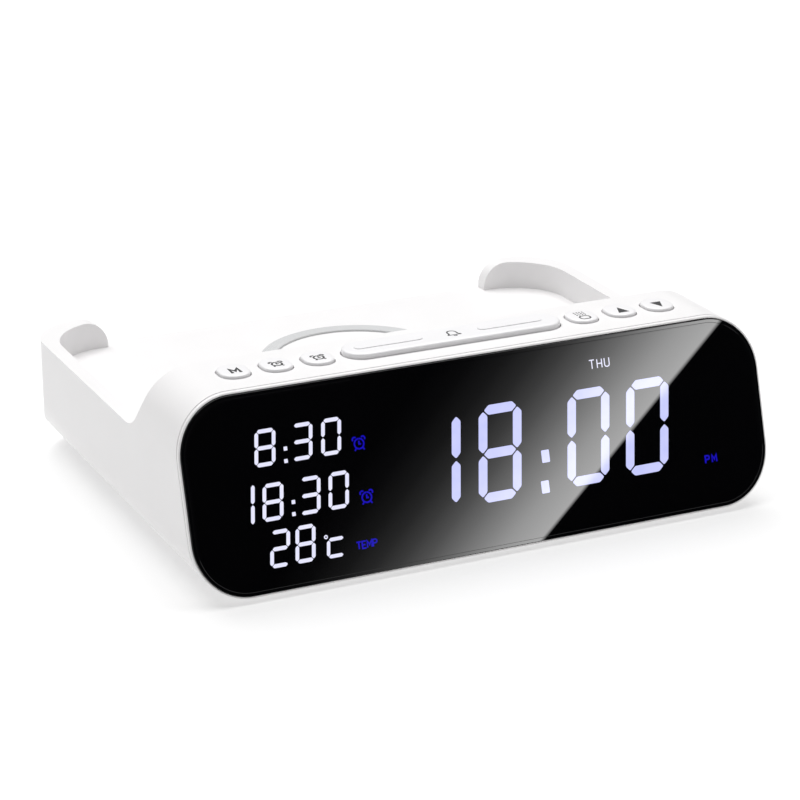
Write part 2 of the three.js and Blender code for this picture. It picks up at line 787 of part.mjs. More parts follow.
// Racetrack diaphragm, domed in the middle, on the tube that carries the voice coil.
const speakerCone = (x) => {
  const back = flangeBack - speaker.recess;
  const front = back - 0.6;
  const dome = new THREE.SphereGeometry(speaker.bobbin[1], 16, 6);
  dome.scale(1, 0.3, 1);
  dome.translate(x, back - 0.3, speakerZ);
  const [boreRadius, tubeRadius] = speaker.bobbin;
  const tube = lyingCylinder(tubeRadius, magnetBack - 2.2, front + 0.3, x, speakerZ)
    .subtract(lyingCylinder(boreRadius, 0, front - 1.6, x, speakerZ));
  return lengthwise(oval(speaker.diaphragm, x), front, back)
    .add(solidOf(dome))
    .add(tube);
};

[['left', -speakerX], ['right', speakerX]].forEach(([side, x]) => {
  part(`${side}_speaker_gasket`, speakerGasket(x), darkFoam);
  part(`${side}_speaker_basket`, speakerBasket(x), blackPlastic);
  part(`${side}_speaker_magnet`, speakerMagnet(x), steel);
  part(`${side}_speaker_cone`, speakerCone(x), paperCone);
});

export default clockRadio;
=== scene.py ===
import math

import bmesh
import bpy
from mathutils import Matrix, Vector


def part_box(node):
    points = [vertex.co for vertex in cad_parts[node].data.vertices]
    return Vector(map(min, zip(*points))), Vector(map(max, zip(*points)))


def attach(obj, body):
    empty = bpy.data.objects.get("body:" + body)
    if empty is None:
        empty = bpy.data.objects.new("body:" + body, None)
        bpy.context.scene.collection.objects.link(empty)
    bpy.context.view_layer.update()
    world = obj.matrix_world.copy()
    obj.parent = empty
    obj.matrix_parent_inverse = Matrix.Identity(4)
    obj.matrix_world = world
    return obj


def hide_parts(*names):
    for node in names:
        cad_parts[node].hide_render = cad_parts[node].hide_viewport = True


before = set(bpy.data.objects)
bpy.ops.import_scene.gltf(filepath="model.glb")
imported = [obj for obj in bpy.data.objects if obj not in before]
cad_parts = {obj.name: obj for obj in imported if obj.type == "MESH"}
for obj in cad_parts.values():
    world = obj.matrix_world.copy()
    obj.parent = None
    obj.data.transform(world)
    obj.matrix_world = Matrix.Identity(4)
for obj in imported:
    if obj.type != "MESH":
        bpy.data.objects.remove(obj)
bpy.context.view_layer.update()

# A bedside clock radio: a display bar with keys on top, and a charging tray for a phone behind it.
# Sizes are in millimetres and become metres as each mesh is made. The camera, lamps and floor are in metres.
mm = 0.001
scene = bpy.context.scene


def boxOf(node):
    low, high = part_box(node)
    return Vector(low) / mm, Vector(high) / mm


shellLow, shellHigh = boxOf("main_housing")

body = {
    "halfWidth": shellHigh.x,
    "bottom": shellLow.z,
    "top": shellHigh.z,
    "back": shellHigh.y,
    "corner": 16.5,  # seen from the front
    "rearCorner": 17.5,  # seen from above
    "rearFoot": 3.5,  # seen from the side
    "wall": 2.2,
    "lean": 16.5,  # degrees the display leans back
    "faceY": -65.0,  # where the display crosses mid height
    "seamDepth": 1.95,
    "roomStart": -30.0,  # the room inside runs out through the front
}
body["middleZ"] = (body["top"] + body["bottom"]) / 2
body["height"] = body["top"] - body["bottom"]
leanSine = math.sin(math.radians(body["lean"]))
leanCosine = math.cos(math.radians(body["lean"]))


# Camera

camera = {
    "place": (-0.32882, -0.71284, 0.31366),
    "yaw": 24.972,
    "pitch": 20.316,
    "roll": -0.233,
    "lens": 124.21,
}


def makeCamera():
    yaw, pitch, roll = (math.radians(camera[key]) for key in ("yaw", "pitch", "roll"))
    forward = Vector((math.sin(yaw) * math.cos(pitch), math.cos(yaw) * math.cos(pitch), -math.sin(pitch)))
    level = Vector((math.cos(yaw), -math.sin(yaw), 0.0))
    upward = level.cross(forward)
    right = level * math.cos(roll) + upward * math.sin(roll)
    above = upward * math.cos(roll) - level * math.sin(roll)
    data = bpy.data.cameras.new("camera")
    data.lens = camera["lens"]
    data.sensor_width = 36.0
    data.clip_start = 0.01
    eye = bpy.data.objects.new("camera", data)
    turn = Matrix((right, above, -forward)).transposed().to_4x4()
    eye.matrix_world = Matrix.Translation(camera["place"]) @ turn
    scene.collection.objects.link(eye)
    scene.camera = eye
    return forward


viewDirection = makeCamera()
print("camera placed")


# Shader maths

class Flow:
    # One output of a node, with the usual signs standing for Math nodes.
    def __init__(self, finish, socket):
        self.finish = finish
        self.socket = socket

    def sum(self, operation, left, right=0.0, clamped=False):
        settings = {"operation": operation, "use_clamp": clamped}
        return self.finish.node("Math", settings, {0: left, 1: right})

    def __add__(self, other):
        return self.sum("ADD", self, other)

    def __radd__(self, other):
        return self.sum("ADD", other, self)

    def __sub__(self, other):
        return self.sum("SUBTRACT", self, other)

    def __rsub__(self, other):
        return self.sum("SUBTRACT", other, self)

    def __mul__(self, other):
        return self.sum("MULTIPLY", self, other)

    def __rmul__(self, other):
        return self.sum("MULTIPLY", other, self)

    def __pow__(self, other):
        return self.sum("POWER", self, other)

    def sine(self):
        return self.sum("SINE", self)

    def size(self):
        return self.sum("ABSOLUTE", self)

    def held(self):
        return self.sum("ADD", self, 0.0, clamped=True)


class Finish:
    # A material under construction.
    def __init__(self, name):
        self.material = bpy.data.materials.new(name)
        self.material.use_nodes = True
        self.tree = self.material.node_tree
        self.tree.nodes.clear()
        self.place = self.node("TexCoord", output="Object")

    def node(self, kind, settings=None, sockets=None, output=0):
        made = self.tree.nodes.new("ShaderNode" + kind)
        for key, value in (settings or {}).items():
            if key == "stops":
                self.setStops(made.color_ramp, value)
            else:
                setattr(made, key, value)
        for key, value in (sockets or {}).items():
            if isinstance(value, Flow):
                self.tree.links.new(value.socket, made.inputs[key])
            else:
                made.inputs[key].default_value = value
        return Flow(self, made.outputs[output]) if made.outputs else made

    def setStops(self, ramp, stops):
        while len(ramp.elements) < len(stops):
            ramp.elements.new(1.0)
        for element, (position, colour) in zip(ramp.elements, stops):
            element.position = position
            element.color = colour

    def noise(self, grain, detail=2.0, place=None, roughness=0.5):
        sockets = {"Vector": place or self.place, "Scale": 1 / (grain * mm)}
        sockets |= {"Detail": detail, "Roughness": roughness}
        return self.node("TexNoise", None, sockets)

    def stretched(self, factors):
        return self.node("VectorMath", {"operation": "MULTIPLY"}, {0: self.place, 1: factors})

    def axis(self, name):
        return self.node("SeparateXYZ", None, {"Vector": self.place}, output=name)

    def blend(self, mask, first, second):
        return self.node("Mix", {"data_type": "RGBA"}, {0: mask, 6: first, 7: second}, output=2)

    def bump(self, height, depth, strength=1.0):
        return self.node("Bump", None, {"Height": height, "Distance": depth * mm, "Strength": strength})

    def surface(self, sockets):
        shader = self.node("BsdfPrincipled", None, sockets)
        self.node("OutputMaterial", None, {"Surface": shader})
        return self.material


def tint(red, green, blue):
    return (red, green, blue, 1.0)


# Finishes

shellPaint = {
    "bright": tint(0.895, 0.885, 0.887),
    "soft": tint(0.87, 0.86, 0.863),
    "roughness": 0.34,
    "grain": 0.22,
}


def mouldedWhite(name, look):
    # Spark-textured white plastic: a fine even grain, and a faint cloudiness from handling.
    finish = Finish(name)
    cloud = finish.noise(28, 3)
    grain = finish.noise(look["grain"], 2)
    polish = finish.noise(9, 4, roughness=0.7)
    return finish.surface({
        "Base Color": finish.blend((cloud * 1.6 - 0.3).held(), look["soft"], look["bright"]),
        "Roughness": look["roughness"] + (polish - 0.5) * 0.12 + (grain - 0.5) * 0.05,
        "Normal": finish.bump(grain, 0.006, 0.5),
        "IOR": 1.5,
    })


whiteShell = mouldedWhite("whiteShell", shellPaint)

keyPaint = {
    "bright": tint(0.895, 0.888, 0.9),
    "soft": tint(0.87, 0.863, 0.875),
    "roughness": 0.3,
    "grain": 0.16,
}
whiteKeys = mouldedWhite("whiteKeys", keyPaint)

lensLook = {"colour": tint(0.0012, 0.0012, 0.0014), "tinge": tint(0.002, 0.002, 0.0028), "roughness": 0.004}


def glossyBlack():
    finish = Finish("smokedLens")
    smear = finish.noise(34, 4, roughness=0.6)
    wipe = finish.noise(6, 5, finish.stretched((0.35, 1.0, 1.6)), 0.7)
    return finish.surface({
        "Base Color": finish.blend(smear, lensLook["colour"], lensLook["tinge"]),
        "Roughness": lensLook["roughness"] + (smear * wipe) * 0.01,
        "IOR": 1.5,
    })


smokedLens = glossyBlack()

lightLook = {
    "white": tint(0.62, 0.64, 1.0),
    "whiteEdge": tint(0.55, 0.58, 0.98),
    "pale": tint(0.84, 0.84, 1.0),
    "paleEdge": tint(0.76, 0.77, 1.0),
    "blue": tint(0.006, 0.001, 0.52),
    "blueEdge": tint(0.004, 0.001, 0.4),
    "glow": 1.0,
}


def litPrint(name, middle, edge, glow):
    # A window in the black print with a lamp behind it: a little uneven, under the same gloss.
    finish = Finish(name)
    lamp = finish.noise(3.2, 1)
    return finish.surface({
        "Base Color": finish.blend(lamp, tint(0.01, 0.01, 0.012), tint(0.006, 0.006, 0.008)),
        "Roughness": 0.04 + lamp * 0.02,
        "Emission Color": finish.blend((lamp * 1.5 - 0.25).held(), edge, middle),
        "Emission Strength": glow,
        "IOR": 1.5,
    })


whiteLight = litPrint("whiteLight", lightLook["white"], lightLook["whiteEdge"], lightLook["glow"])
paleLight = litPrint("paleLight", lightLook["pale"], lightLook["paleEdge"], lightLook["glow"])
blueLight = litPrint("blueLight", lightLook["blue"], lightLook["blueEdge"], lightLook["glow"])


def darkPrint():
    finish = Finish("darkPrint")
    speck = finish.noise(0.12, 2)
    return finish.surface({
        "Base Color": finish.blend(speck, tint(0.012, 0.012, 0.014), tint(0.03, 0.03, 0.033)),
        "Roughness": 0.42 + speck * 0.15,
        "Normal": finish.bump(speck, 0.002, 0.3),
    })


printInk = darkPrint()


def mottled(name, dark, light, grain, roughness, bumpDepth, metal=0.0):
    # A grainy finish between two colours, for rubber, foam, ferrite and plain plastic.
    finish = Finish(name)
    speck = finish.noise(grain, 4, roughness=0.6)
    patch = finish.noise(grain * 22, 2)
    sockets = {
        "Base Color": finish.blend((speck * 0.7 + patch * 0.3), dark, light),
        "Roughness": roughness + (patch - 0.5) * 0.15,
        "Normal": finish.bump(speck, bumpDepth, 0.6),
    }
    if metal:
        sockets["Metallic"] = metal
    return finish.surface(sockets)


blackPlastic = mottled("blackPlastic", tint(0.008, 0.008, 0.009), tint(0.02, 0.02, 0.022), 0.3, 0.5, 0.01)
footRubber = mottled("footRubber", tint(0.012, 0.012, 0.013), tint(0.03, 0.03, 0.031), 0.35, 0.82, 0.03)
gripRubber = mottled("gripRubber", tint(0.54, 0.545, 0.55), tint(0.62, 0.625, 0.63), 0.4, 0.72, 0.02)
blackFoam = mottled("blackFoam", tint(0.006, 0.006, 0.006), tint(0.035, 0.035, 0.036), 0.5, 0.95, 0.12)
ferriteGrey = mottled(
    "ferriteGrey", tint(0.016, 0.016, 0.018), tint(0.05, 0.05, 0.054), 0.18, 0.55, 0.01, metal=0.2,
)
boxWhite = mottled("boxWhite", tint(0.74, 0.74, 0.72), tint(0.84, 0.84, 0.82), 0.3, 0.55, 0.01)


def paperFibre():
    finish = Finish("coneFibre")
    fibre = finish.noise(0.5, 5, finish.stretched((1.0, 1.0, 3.5)), 0.7)
    cloud = finish.noise(6, 3)
    return finish.surface({
        "Base Color": finish.blend(fibre, tint(0.01, 0.01, 0.011), tint(0.045, 0.044, 0.045)),
        "Roughness": 0.78 + (cloud - 0.5) * 0.2,
        "Normal": finish.bump(fibre, 0.06, 0.7),
    })


coneFibre = paperFibre()


def brushedSteel():
    finish = Finish("brightSteel")
    scratch = finish.noise(0.25, 4, finish.stretched((1.0, 0.12, 1.0)), 0.7)
    cloud = finish.noise(5, 3)
    return finish.surface({
        "Base Color": finish.blend(cloud, tint(0.55, 0.555, 0.565), tint(0.7, 0.7, 0.71)),
        "Metallic": 1.0,
        "Roughness": 0.24 + scratch * 0.14,
        "Normal": finish.bump(scratch, 0.004, 0.5),
    })


brightSteel = brushedSteel()


def copperFoil():
    finish = Finish("copperFoil")
    crease = finish.noise(2.5, 4, roughness=0.6)
    stain = finish.noise(7, 3)
    return finish.surface({
        "Base Color": finish.blend(stain, tint(0.72, 0.32, 0.17), tint(0.55, 0.22, 0.11)),
        "Metallic": 1.0,
        "Roughness": 0.28 + stain * 0.16,
        "Normal": finish.bump(crease, 0.05, 0.5),
    })


foilCopper = copperFoil()

winding = {"pitch": 0.62, "centre": (0.0, 25.0)}


def copperWinding():
    # Enamelled wire wound flat: fine rings about the coil's own middle, with painted shade darkening the
    # grooves between the turns.
    finish = Finish("copperWinding")
    across = finish.axis("X") - winding["centre"][0] * mm
    along = finish.axis("Y") - winding["centre"][1] * mm
    radius = (across * across + along * along) ** 0.5
    ring = (radius * (2 * math.pi / (winding["pitch"] * mm))).sine() * 0.5 + 0.5
    stain = finish.noise(5, 3)
    # The dark tint is painted shade in the grooves between turns; the light tint is the copper of the turns.
    turnsWithPaintedShade = finish.blend(ring, tint(0.1, 0.03, 0.012), tint(0.62, 0.25, 0.11))
    return finish.surface({
        "Base Color": finish.blend(stain * 0.5, turnsWithPaintedShade, tint(0.45, 0.16, 0.07)),
        "Metallic": 0.85,
        "Roughness": 0.3 + stain * 0.15,
        "Normal": finish.bump(ring, 0.12, 0.8),
    })


coilCopper = copperWinding()

boardLook = {
    "mask": tint(0.012, 0.11, 0.045),
    "trace": tint(0.03, 0.2, 0.08),
    "chip": tint(0.012, 0.012, 0.013),
    "square": 3.2,
    "chipLevel": 1.65,  # just past the board's thickness
}


def circuitBoard(name, chipSide=0, chipLevel=0.0):
    # Green solder mask over square-cornered tracks, with black chips above or below one level.
    finish = Finish(name)
    squares = {"distance": "CHEBYCHEV", "feature": "F1"}
    scale = 1 / (boardLook["square"] * mm)
    cells = finish.node("TexVoronoi", squares, {"Vector": finish.place, "Scale": scale, "Randomness": 0.8})
    lines = ((cells * 34).sine().size() * 6 - 4.6).held()
    cloud = finish.noise(7, 3)
    colour = finish.blend(lines, boardLook["mask"], boardLook["trace"])
    roughness = 0.34 + cloud * 0.14
    if chipSide:
        chips = ((finish.axis("Z") - chipLevel * mm) * (chipSide * 40000)).held()
        colour = finish.blend(chips, colour, boardLook["chip"])
        roughness = roughness + chips * 0.2
    return finish.surface({
        "Base Color": colour,
        "Roughness": roughness,
        "Normal": finish.bump(lines, 0.035, 0.8),
    })


plainBoard = circuitBoard("plainBoard")
aboveMain = boxOf("main_board")[0].z + boardLook["chipLevel"]
belowCharger = boxOf("charger_board")[1].z - boardLook["chipLevel"]
mainBoardFinish = circuitBoard("mainBoardFinish", 1, aboveMain)
chargerBoardFinish = circuitBoard("chargerBoardFinish", -1, belowCharger)
print("finishes mixed")


# Outlines, each a list of points anticlockwise

def roundedOutline(width, height, radius, steps=18, centre=(0.0, 0.0)):
    points = []
    corners = [(1, 1, 0), (-1, 1, 90), (-1, -1, 180), (1, -1, 270)]
    for sideX, sideY, start in corners:
        middleX = centre[0] + sideX * (width / 2 - radius)
        middleY = centre[1] + sideY * (height / 2 - radius)
        for step in range(steps + 1):
            angle = math.radians(start + 90 * step / steps)
            points.append((middleX + radius * math.cos(angle), middleY + radius * math.sin(angle)))
    return points


def arc(middle, radius, start, end, steps):
    angles = [math.radians(start + (end - start) * step / steps) for step in range(steps + 1)]
    return [(middle[0] + radius * math.cos(angle), middle[1] + radius * math.sin(angle)) for angle in angles]


def ringOutline(radius, steps, centre):
    return arc(centre, radius, 0, 360 - 360 / steps, steps - 1)


def circleAbout(place, steps):
    # What draws a circle of any radius about one upright line.
    return lambda radius: ringOutline(radius, steps, (place.x, place.y))


def sectionOutline(inset, steps=18):
    width = 2 * (body["halfWidth"] - inset)
    height = body["height"] - 2 * inset
    return roundedOutline(width, height, body["corner"] - inset, steps, (0.0, body["middleZ"]))


# Where an outline is put

def level(outline, height):
    return [(x, y, height) for x, y in outline]


def upFront(outline, y):
    return [(x, y, z) for x, z in outline]


def behindFace(outline, depth):
    # A front-view outline carried along the body onto a plane behind the leaning display.
    def planeY(z):
        return body["faceY"] + ((z - body["middleZ"]) * leanSine + depth) / leanCosine

    return [(x, planeY(z), z) for x, z in outline]


def onFace(points, proud):
    # Points drawn on the display itself, from its middle.
    middleY = body["faceY"] - proud * leanCosine
    middleZ = body["middleZ"] + proud * leanSine
    return [(x, middleY + up * leanSine, middleZ + up * leanCosine) for x, up in points]


def fromSide(outline, x):
    return [(x, y, z) for y, z in outline]


# Meshes

class Shape:
    # Geometry in millimetres, gathered from lofts before it becomes a piece.
    def __init__(self):
        self.mesh = bmesh.new()

    def loft(self, loops, closed=False):
        rows = [[self.mesh.verts.new(Vector(point) * mm) for point in loop] for loop in loops]
        pairs = list(zip(rows, rows[1:]))
        if closed:
            pairs.append((rows[-1], rows[0]))
        made = []
        for low, high in pairs:
            for step in range(len(low)):
                after = (step + 1) % len(low)
                made.append(self.mesh.faces.new((low[step], low[after], high[after], high[step])))
        if not closed:
            made.append(self.mesh.faces.new(list(reversed(rows[0]))))
            made.append(self.mesh.faces.new(rows[-1]))
        bmesh.ops.recalc_face_normals(self.mesh, faces=made)
        return self

    def stacked(self, rows, outlineFor, place, closed=False):
        # Each row is where one outline lies and the size or inset that draws it.
        return self.loft([place(outlineFor(size), where) for where, size in rows], closed)

    def object(self, name):
        data = bpy.data.meshes.new(name)
        self.mesh.to_mesh(data)
        self.mesh.free()
        made = bpy.data.objects.new(name, data)
        scene.collection.objects.link(made)
        return made


def settled(thing):
    # The object's mesh as its modifiers leave it.
    depsgraph = bpy.context.evaluated_depsgraph_get()
    data = bpy.data.meshes.new_from_object(thing.evaluated_get(depsgraph))
    thing.modifiers.clear()
    thing.data = data
    return thing


def carve(thing, cutter, operation="DIFFERENCE"):
    tool = thing.modifiers.new("carve", "BOOLEAN")
    tool.operation = operation
    tool.solver = "EXACT"
    tool.object = cutter
    settled(thing)
    bpy.data.objects.remove(cutter)
    return thing


def finished(thing, material, rides, replaced=(), sharpAngle=38):
    data = thing.data
    data.materials.clear()
    data.materials.append(material)
    data.shade_smooth()
    data.set_sharp_from_angle(angle=math.radians(sharpAngle))
    tool = thing.modifiers.new("evenShading", "WEIGHTED_NORMAL")
    tool.keep_sharp = True
    tool.weight = 60
    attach(thing, rides)
    if replaced:
        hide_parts(*replaced)
    return thing


def prism(outline, place, start, end):
    return Shape().loft([place(outline, start), place(outline, end)]).object("cutter")


# Main housing

# Places well clear of the body, where cutters end.
far = {"side": 120.0, "front": -140.0, "back": 110.0, "below": -20.0, "above": 90.0}
tray = {
    "barBack": -29.7,
    "barFillet": 11.0,
    "rimTop": 37.5,
    "rimWidth": 4.55,
    "front": -18.0,
    "floor": 28.6,
    "corner": 18.0,
    "floorThickness": 2.4,
    "hornEnd": 66.0,
    "hornRound": 8.0,
}
edgeRounds = {"seam": 0.4, "rimOuter": 0.95, "rimInner": 0.6, "bar": 0.8, "belowBack": 0.5, "steps": 4}
keyRow = {
    "y": -42.3,
    "size": (8.8, 10.4),
    "corner": 4.1,
    "snoozeSize": (68.4, 11.6),
    "holeGap": 0.3,
    "holeRound": 0.22,
    "holeFloor": 52.0,
}
grille = {"count": 10, "pitch": 4.0, "slot": (1.8, 14.0), "middleX": 46.0, "middleZ": 14.5, "round": 0.35}
keyNames = ["mode", "alarm1", "alarm2", "light", "up", "down"]


def middleOf(node):
    low, high = boxOf(node)
    return (low + high) / 2


keyPlaces = {name: middleOf(name + "_button").x for name in keyNames}


def keyOutline(x, margin, steps=10):
    width, depth = keyRow["size"]
    radius = keyRow["corner"] + margin
    return roundedOutline(width + 2 * margin, depth + 2 * margin, radius, steps, (x, keyRow["y"]))


def snoozeOutline(margin, steps=16):
    width, depth = keyRow["snoozeSize"]
    radius = depth / 2 + margin - 0.01
    return roundedOutline(width + 2 * margin, depth + 2 * margin, radius, steps, (0.0, keyRow["y"]))


def bodyPlan(inset, front):
    x = body["halfWidth"] - inset
    back = body["back"] - inset
    radius = body["rearCorner"] - inset
    right = arc((x - radius, back - radius), radius, 0, 90, 20)
    left = arc((radius - x, back - radius), radius, 90, 180, 20)
    return [(x, front)] + right + left + [(-x, front)]


def roundedRearFoot():
    radius = body["rearFoot"]
    turn = arc((body["back"] - radius, body["bottom"] + radius), radius, 270, 360, 8)
    profile = [(far["front"], body["bottom"])] + turn
    profile += [(body["back"], far["above"]), (far["front"], far["above"])]
    return prism(profile, fromSide, -far["side"], far["side"])


def bodySolid(inset, depth):
    # The rounded section run back from behind the display, with both rear corners rounded.
    section = sectionOutline(inset)
    run = Shape().loft([behindFace(section, depth), upFront(section, body["back"] - inset)])
    plan = prism(bodyPlan(inset, far["front"]), level, far["below"], far["above"])
    return carve(run.object("main_housing_shell"), plan, "INTERSECT")


def aboveRim():
    back = tray["barBack"]
    top = tray["rimTop"]
    radius = tray["barFillet"]
    fillet = arc((back + radius, top + radius), radius, 180, 270, 16)
    profile = [(back, far["above"])] + fillet + [(far["back"], top), (far["back"], far["above"])]
    return prism(profile, fromSide, -far["side"], far["side"])


def trayPocket():
    back = body["back"] - tray["rimWidth"]
    width = 2 * (body["halfWidth"] - tray["rimWidth"])
    length = back - tray["front"]
    outline = roundedOutline(width, length, tray["corner"], 18, (0.0, (back + tray["front"]) / 2))
    return prism(outline, level, tray["floor"], far["above"])


def rearGap():
    end = tray["hornEnd"]
    turn = tray["hornRound"]
    top = tray["rimTop"]
    right = arc((end + turn, top - turn), turn, 180, 90, 10)
    left = [(-x, z) for x, z in reversed(right)]
    above = [(end + turn, far["above"]), (-end - turn, far["above"])]
    profile = [(end, tray["floor"])] + right + above + left + [(-end, tray["floor"])]
    return prism(profile, upFront, body["back"] - 2 * tray["rimWidth"], far["back"])


def depthBehindFace(point):
    return (point.y - body["faceY"]) * leanCosine - (point.z - body["middleZ"]) * leanSine


def roundFor(point):
    # How far an outside edge at this place is rounded over.
    near = 0.1
    if depthBehindFace(point) < body["seamDepth"] + near:
        return edgeRounds["seam"]
    if point.z < tray["floor"] - 1:
        return edgeRounds["belowBack"]
    insideX = abs(point.x) < body["halfWidth"] - tray["rimWidth"] + 2 * near
    insideY = point.y < body["back"] - tray["rimWidth"] + 2 * near
    if point.z > tray["rimTop"] + near:
        return edgeRounds["bar"]
    if insideX and insideY and point.y > tray["front"] - 2 * near:
        return edgeRounds["rimInner"]
    return edgeRounds["rimOuter"]


def roundEdges(thing):
    widest = max(value for key, value in edgeRounds.items() if key != "steps")
    mesh = bmesh.new()
    mesh.from_mesh(thing.data)
    bmesh.ops.remove_doubles(mesh, verts=mesh.verts, dist=0.00001)
    weights = mesh.edges.layers.float.new("bevel_weight_edge")
    for edge in mesh.edges:
        if len(edge.link_faces) == 2 and edge.calc_face_angle_signed() > math.radians(24):
            middle = (edge.verts[0].co + edge.verts[1].co) / 2 / mm
            edge[weights] = roundFor(middle) / widest
    mesh.to_mesh(thing.data)
    mesh.free()
    tool = thing.modifiers.new("rounds", "BEVEL")
    tool.limit_method = "WEIGHT"
    tool.width = widest * mm
    tool.segments = edgeRounds["steps"]
    tool.use_clamp_overlap = True
    return settled(thing)


def roomInside():
    wall = body["wall"]
    ledgeBack = tray["front"] - wall
    ledgeRoof = tray["rimTop"] - wall
    under = tray["floor"] - tray["floorThickness"]
    barInside = tray["barBack"] - wall
    profile = [(far["front"], far["below"]), (far["back"], far["below"]), (far["back"], under)]
    profile += [(ledgeBack, under), (ledgeBack, ledgeRoof), (barInside, ledgeRoof)]
    profile += [(barInside, far["above"]), (far["front"], far["above"])]
    room = bodySolid(wall, body["roomStart"])
    return carve(room, prism(profile, fromSide, -far["side"], far["side"]), "INTERSECT")


base = {"size": (146.0, 128.0), "corner": 8.0, "middleY": 2.0, "step": 2.0, "stepZ": 2.8, "gap": 0.3}
ports = {
    "usb": {"size": (13.2, 6.0), "corner": 0.7},
    "inlet": {"size": (9.0, 3.2), "corner": 1.55},
    "gap": 0.3,
    "round": 0.3,
    "vent": {"radius": 1.2, "z": 15.0, "round": 0.25},
}


def portOutline(key, node, inset):
    width, height = ports[key]["size"]
    place = middleOf(node)
    radius = ports[key]["corner"] - inset
    return roundedOutline(width - 2 * inset, height - 2 * inset, radius, 6, (place.x, place.z))


def baseOutline(inset):
    width, length = base["size"]
    radius = base["corner"] - inset
    return roundedOutline(width - 2 * inset, length - 2 * inset, radius, 10, (0.0, base["middleY"]))


def topHole(cutters, outlineFor):
    # A hole down through the top of the bar, its mouth rounded over.
    gap = keyRow["holeGap"]
    turn = keyRow["holeRound"]
    top = body["top"]
    rows = [(keyRow["holeFloor"], gap), (top - turn, gap)]
    rows += [(top - turn * 0.3, gap + turn * 0.3), (top, gap + turn), (top + 3, gap + turn)]
    cutters.stacked(rows, outlineFor, level)


def backHole(cutters, outlineFor, turn):
    # A hole forward through the rear wall, its mouth rounded over.
    back = body["back"]
    rows = [(back - 5, 0.0), (back - turn, 0.0), (back - turn * 0.3, turn * 0.3)]
    rows += [(back, turn), (back + 4, turn)]
    cutters.stacked(rows, outlineFor, upFront)


def holeCutters():
    cutters = Shape()
    topHole(cutters, snoozeOutline)
    for name in keyNames:
        topHole(cutters, lambda margin: keyOutline(keyPlaces[name], margin))
    width, height = grille["slot"]
    for side in (-1, 1):
        for step in range(grille["count"]):
            x = side * grille["middleX"] + (step - (grille["count"] - 1) / 2) * grille["pitch"]
            backHole(cutters, lambda margin: roundedOutline(
                width + 2 * margin, height + 2 * margin, width / 2 + margin - 0.01, 6, (x, grille["middleZ"]),
            ), grille["round"])
    for key, node in (("usb", "usb_port"), ("inlet", "power_inlet")):
        backHole(cutters, lambda margin: portOutline(key, node, -ports["gap"] - margin), ports["round"])
    vent = ports["vent"]
    middle = (middleOf("temperature_sensor").x, vent["z"])
    backHole(cutters, lambda margin: ringOutline(vent["radius"] + margin, 20, middle), vent["round"])
    return cutters.object("cutter")


bosses = {"radius": 3.4, "bore": 1.45, "bottom": 5.8, "boreTop": 15.0}
posts = {
    "boardX": (-72.0, -24.0, 24.0, 72.0),
    "boardY": -33.4,
    "boardZ": 47.1,
    "boardRadius": 1.6,
    "chargerX": (-31.0, 31.0),
    "chargerY": (1.0, 49.0),
    "chargerZ": 21.1,
    "chargerRadius": 2.0,
    "sunk": 0.6,  # how far each top runs into the roof
}


def standingPosts():
    # Bosses for the case screws and the posts that hold the two boards, hung from the roof.
    under = tray["floor"] - tray["floorThickness"] + posts["sunk"]
    roof = body["top"] - body["wall"] + posts["sunk"]
    shape = Shape()
    rows = [(bosses["boreTop"], bosses["bore"]), (bosses["bottom"], bosses["bore"])]
    rows += [(bosses["bottom"], bosses["radius"]), (under, bosses["radius"])]
    for number in range(1, 5):
        shape.stacked(rows, circleAbout(middleOf(f"case_screw_{number}"), 24), level)
    for x in posts["boardX"]:
        outline = ringOutline(posts["boardRadius"], 16, (x, posts["boardY"]))
        shape.loft([level(outline, posts["boardZ"]), level(outline, roof)])
    for x in posts["chargerX"]:
        for y in posts["chargerY"]:
            outline = ringOutline(posts["chargerRadius"], 16, (x, y))
            shape.loft([level(outline, posts["chargerZ"]), level(outline, under)])
    return shape.object("posts")


def joinInto(thing, extra):
    mesh = bmesh.new()
    mesh.from_mesh(thing.data)
    mesh.from_mesh(extra.data)
    mesh.to_mesh(thing.data)
    mesh.free()
    bpy.data.objects.remove(extra)
    return thing


def makeHousing():
    shell = carve(bodySolid(0.0, body["seamDepth"]), roundedRearFoot(), "INTERSECT")
    for cutter in (aboveRim(), trayPocket(), rearGap()):
        carve(shell, cutter)
    roundEdges(shell)
    carve(shell, roomInside())
    gap, ledge = base["gap"], base["stepZ"]
    rows = [(-5.0, -gap), (ledge, -gap), (ledge, base["step"] - gap), (5.0, base["step"] - gap)]
    carve(shell, Shape().stacked(rows, baseOutline, level).object("cutter"))
    carve(shell, holeCutters())
    joinInto(shell, standingPosts())
    return finished(shell, whiteShell, "housing", ["main_housing"])


makeHousing()
print("housing made")


# Front ring and lens

ring = {
    "front": 0.4,
    "back": 1.6,
    "lip": 0.3,
    "recess": 1.1,
    "sleeveBack": 5.5,
    "sleeve": (2.5, 4.3),
    "lensGap": 0.56,
}


def makeRing():
    # Each row is a depth behind the display and how far it lies in from the body's outline.
    front, lip, back, recess = (ring[key] for key in ("front", "lip", "back", "recess"))
    outer, inner = ring["sleeve"]
    gap = ring["lensGap"]
    rows = [(back, 0.12), (back - 0.12, 0.0), (front + lip, 0.0), (front + lip * 0.3, lip * 0.25)]
    rows += [(front, lip), (front, gap - 0.06), (front + 0.06, gap), (recess, gap), (recess, inner)]
    rows += [(ring["sleeveBack"], inner), (ring["sleeveBack"], outer), (back, outer)]
    shape = Shape().stacked(rows, sectionOutline, behindFace, closed=True)
    return finished(shape.object("front_ring"), whiteShell, "housing", ["front_frame"])


makeRing()

lensPanel = {
    "edgeInset": 0.71,
    "borderDepth": 0.03,  # a flat border a hair lower than the middle
    "glint": 0.95,  # how far in from its edge the middle starts
    "thickness": 0.9,
    "plugInset": 4.7,
    "plugDepth": 2.3,
    "sharpAngle": 8,  # keeps the border's small steps crisp
}


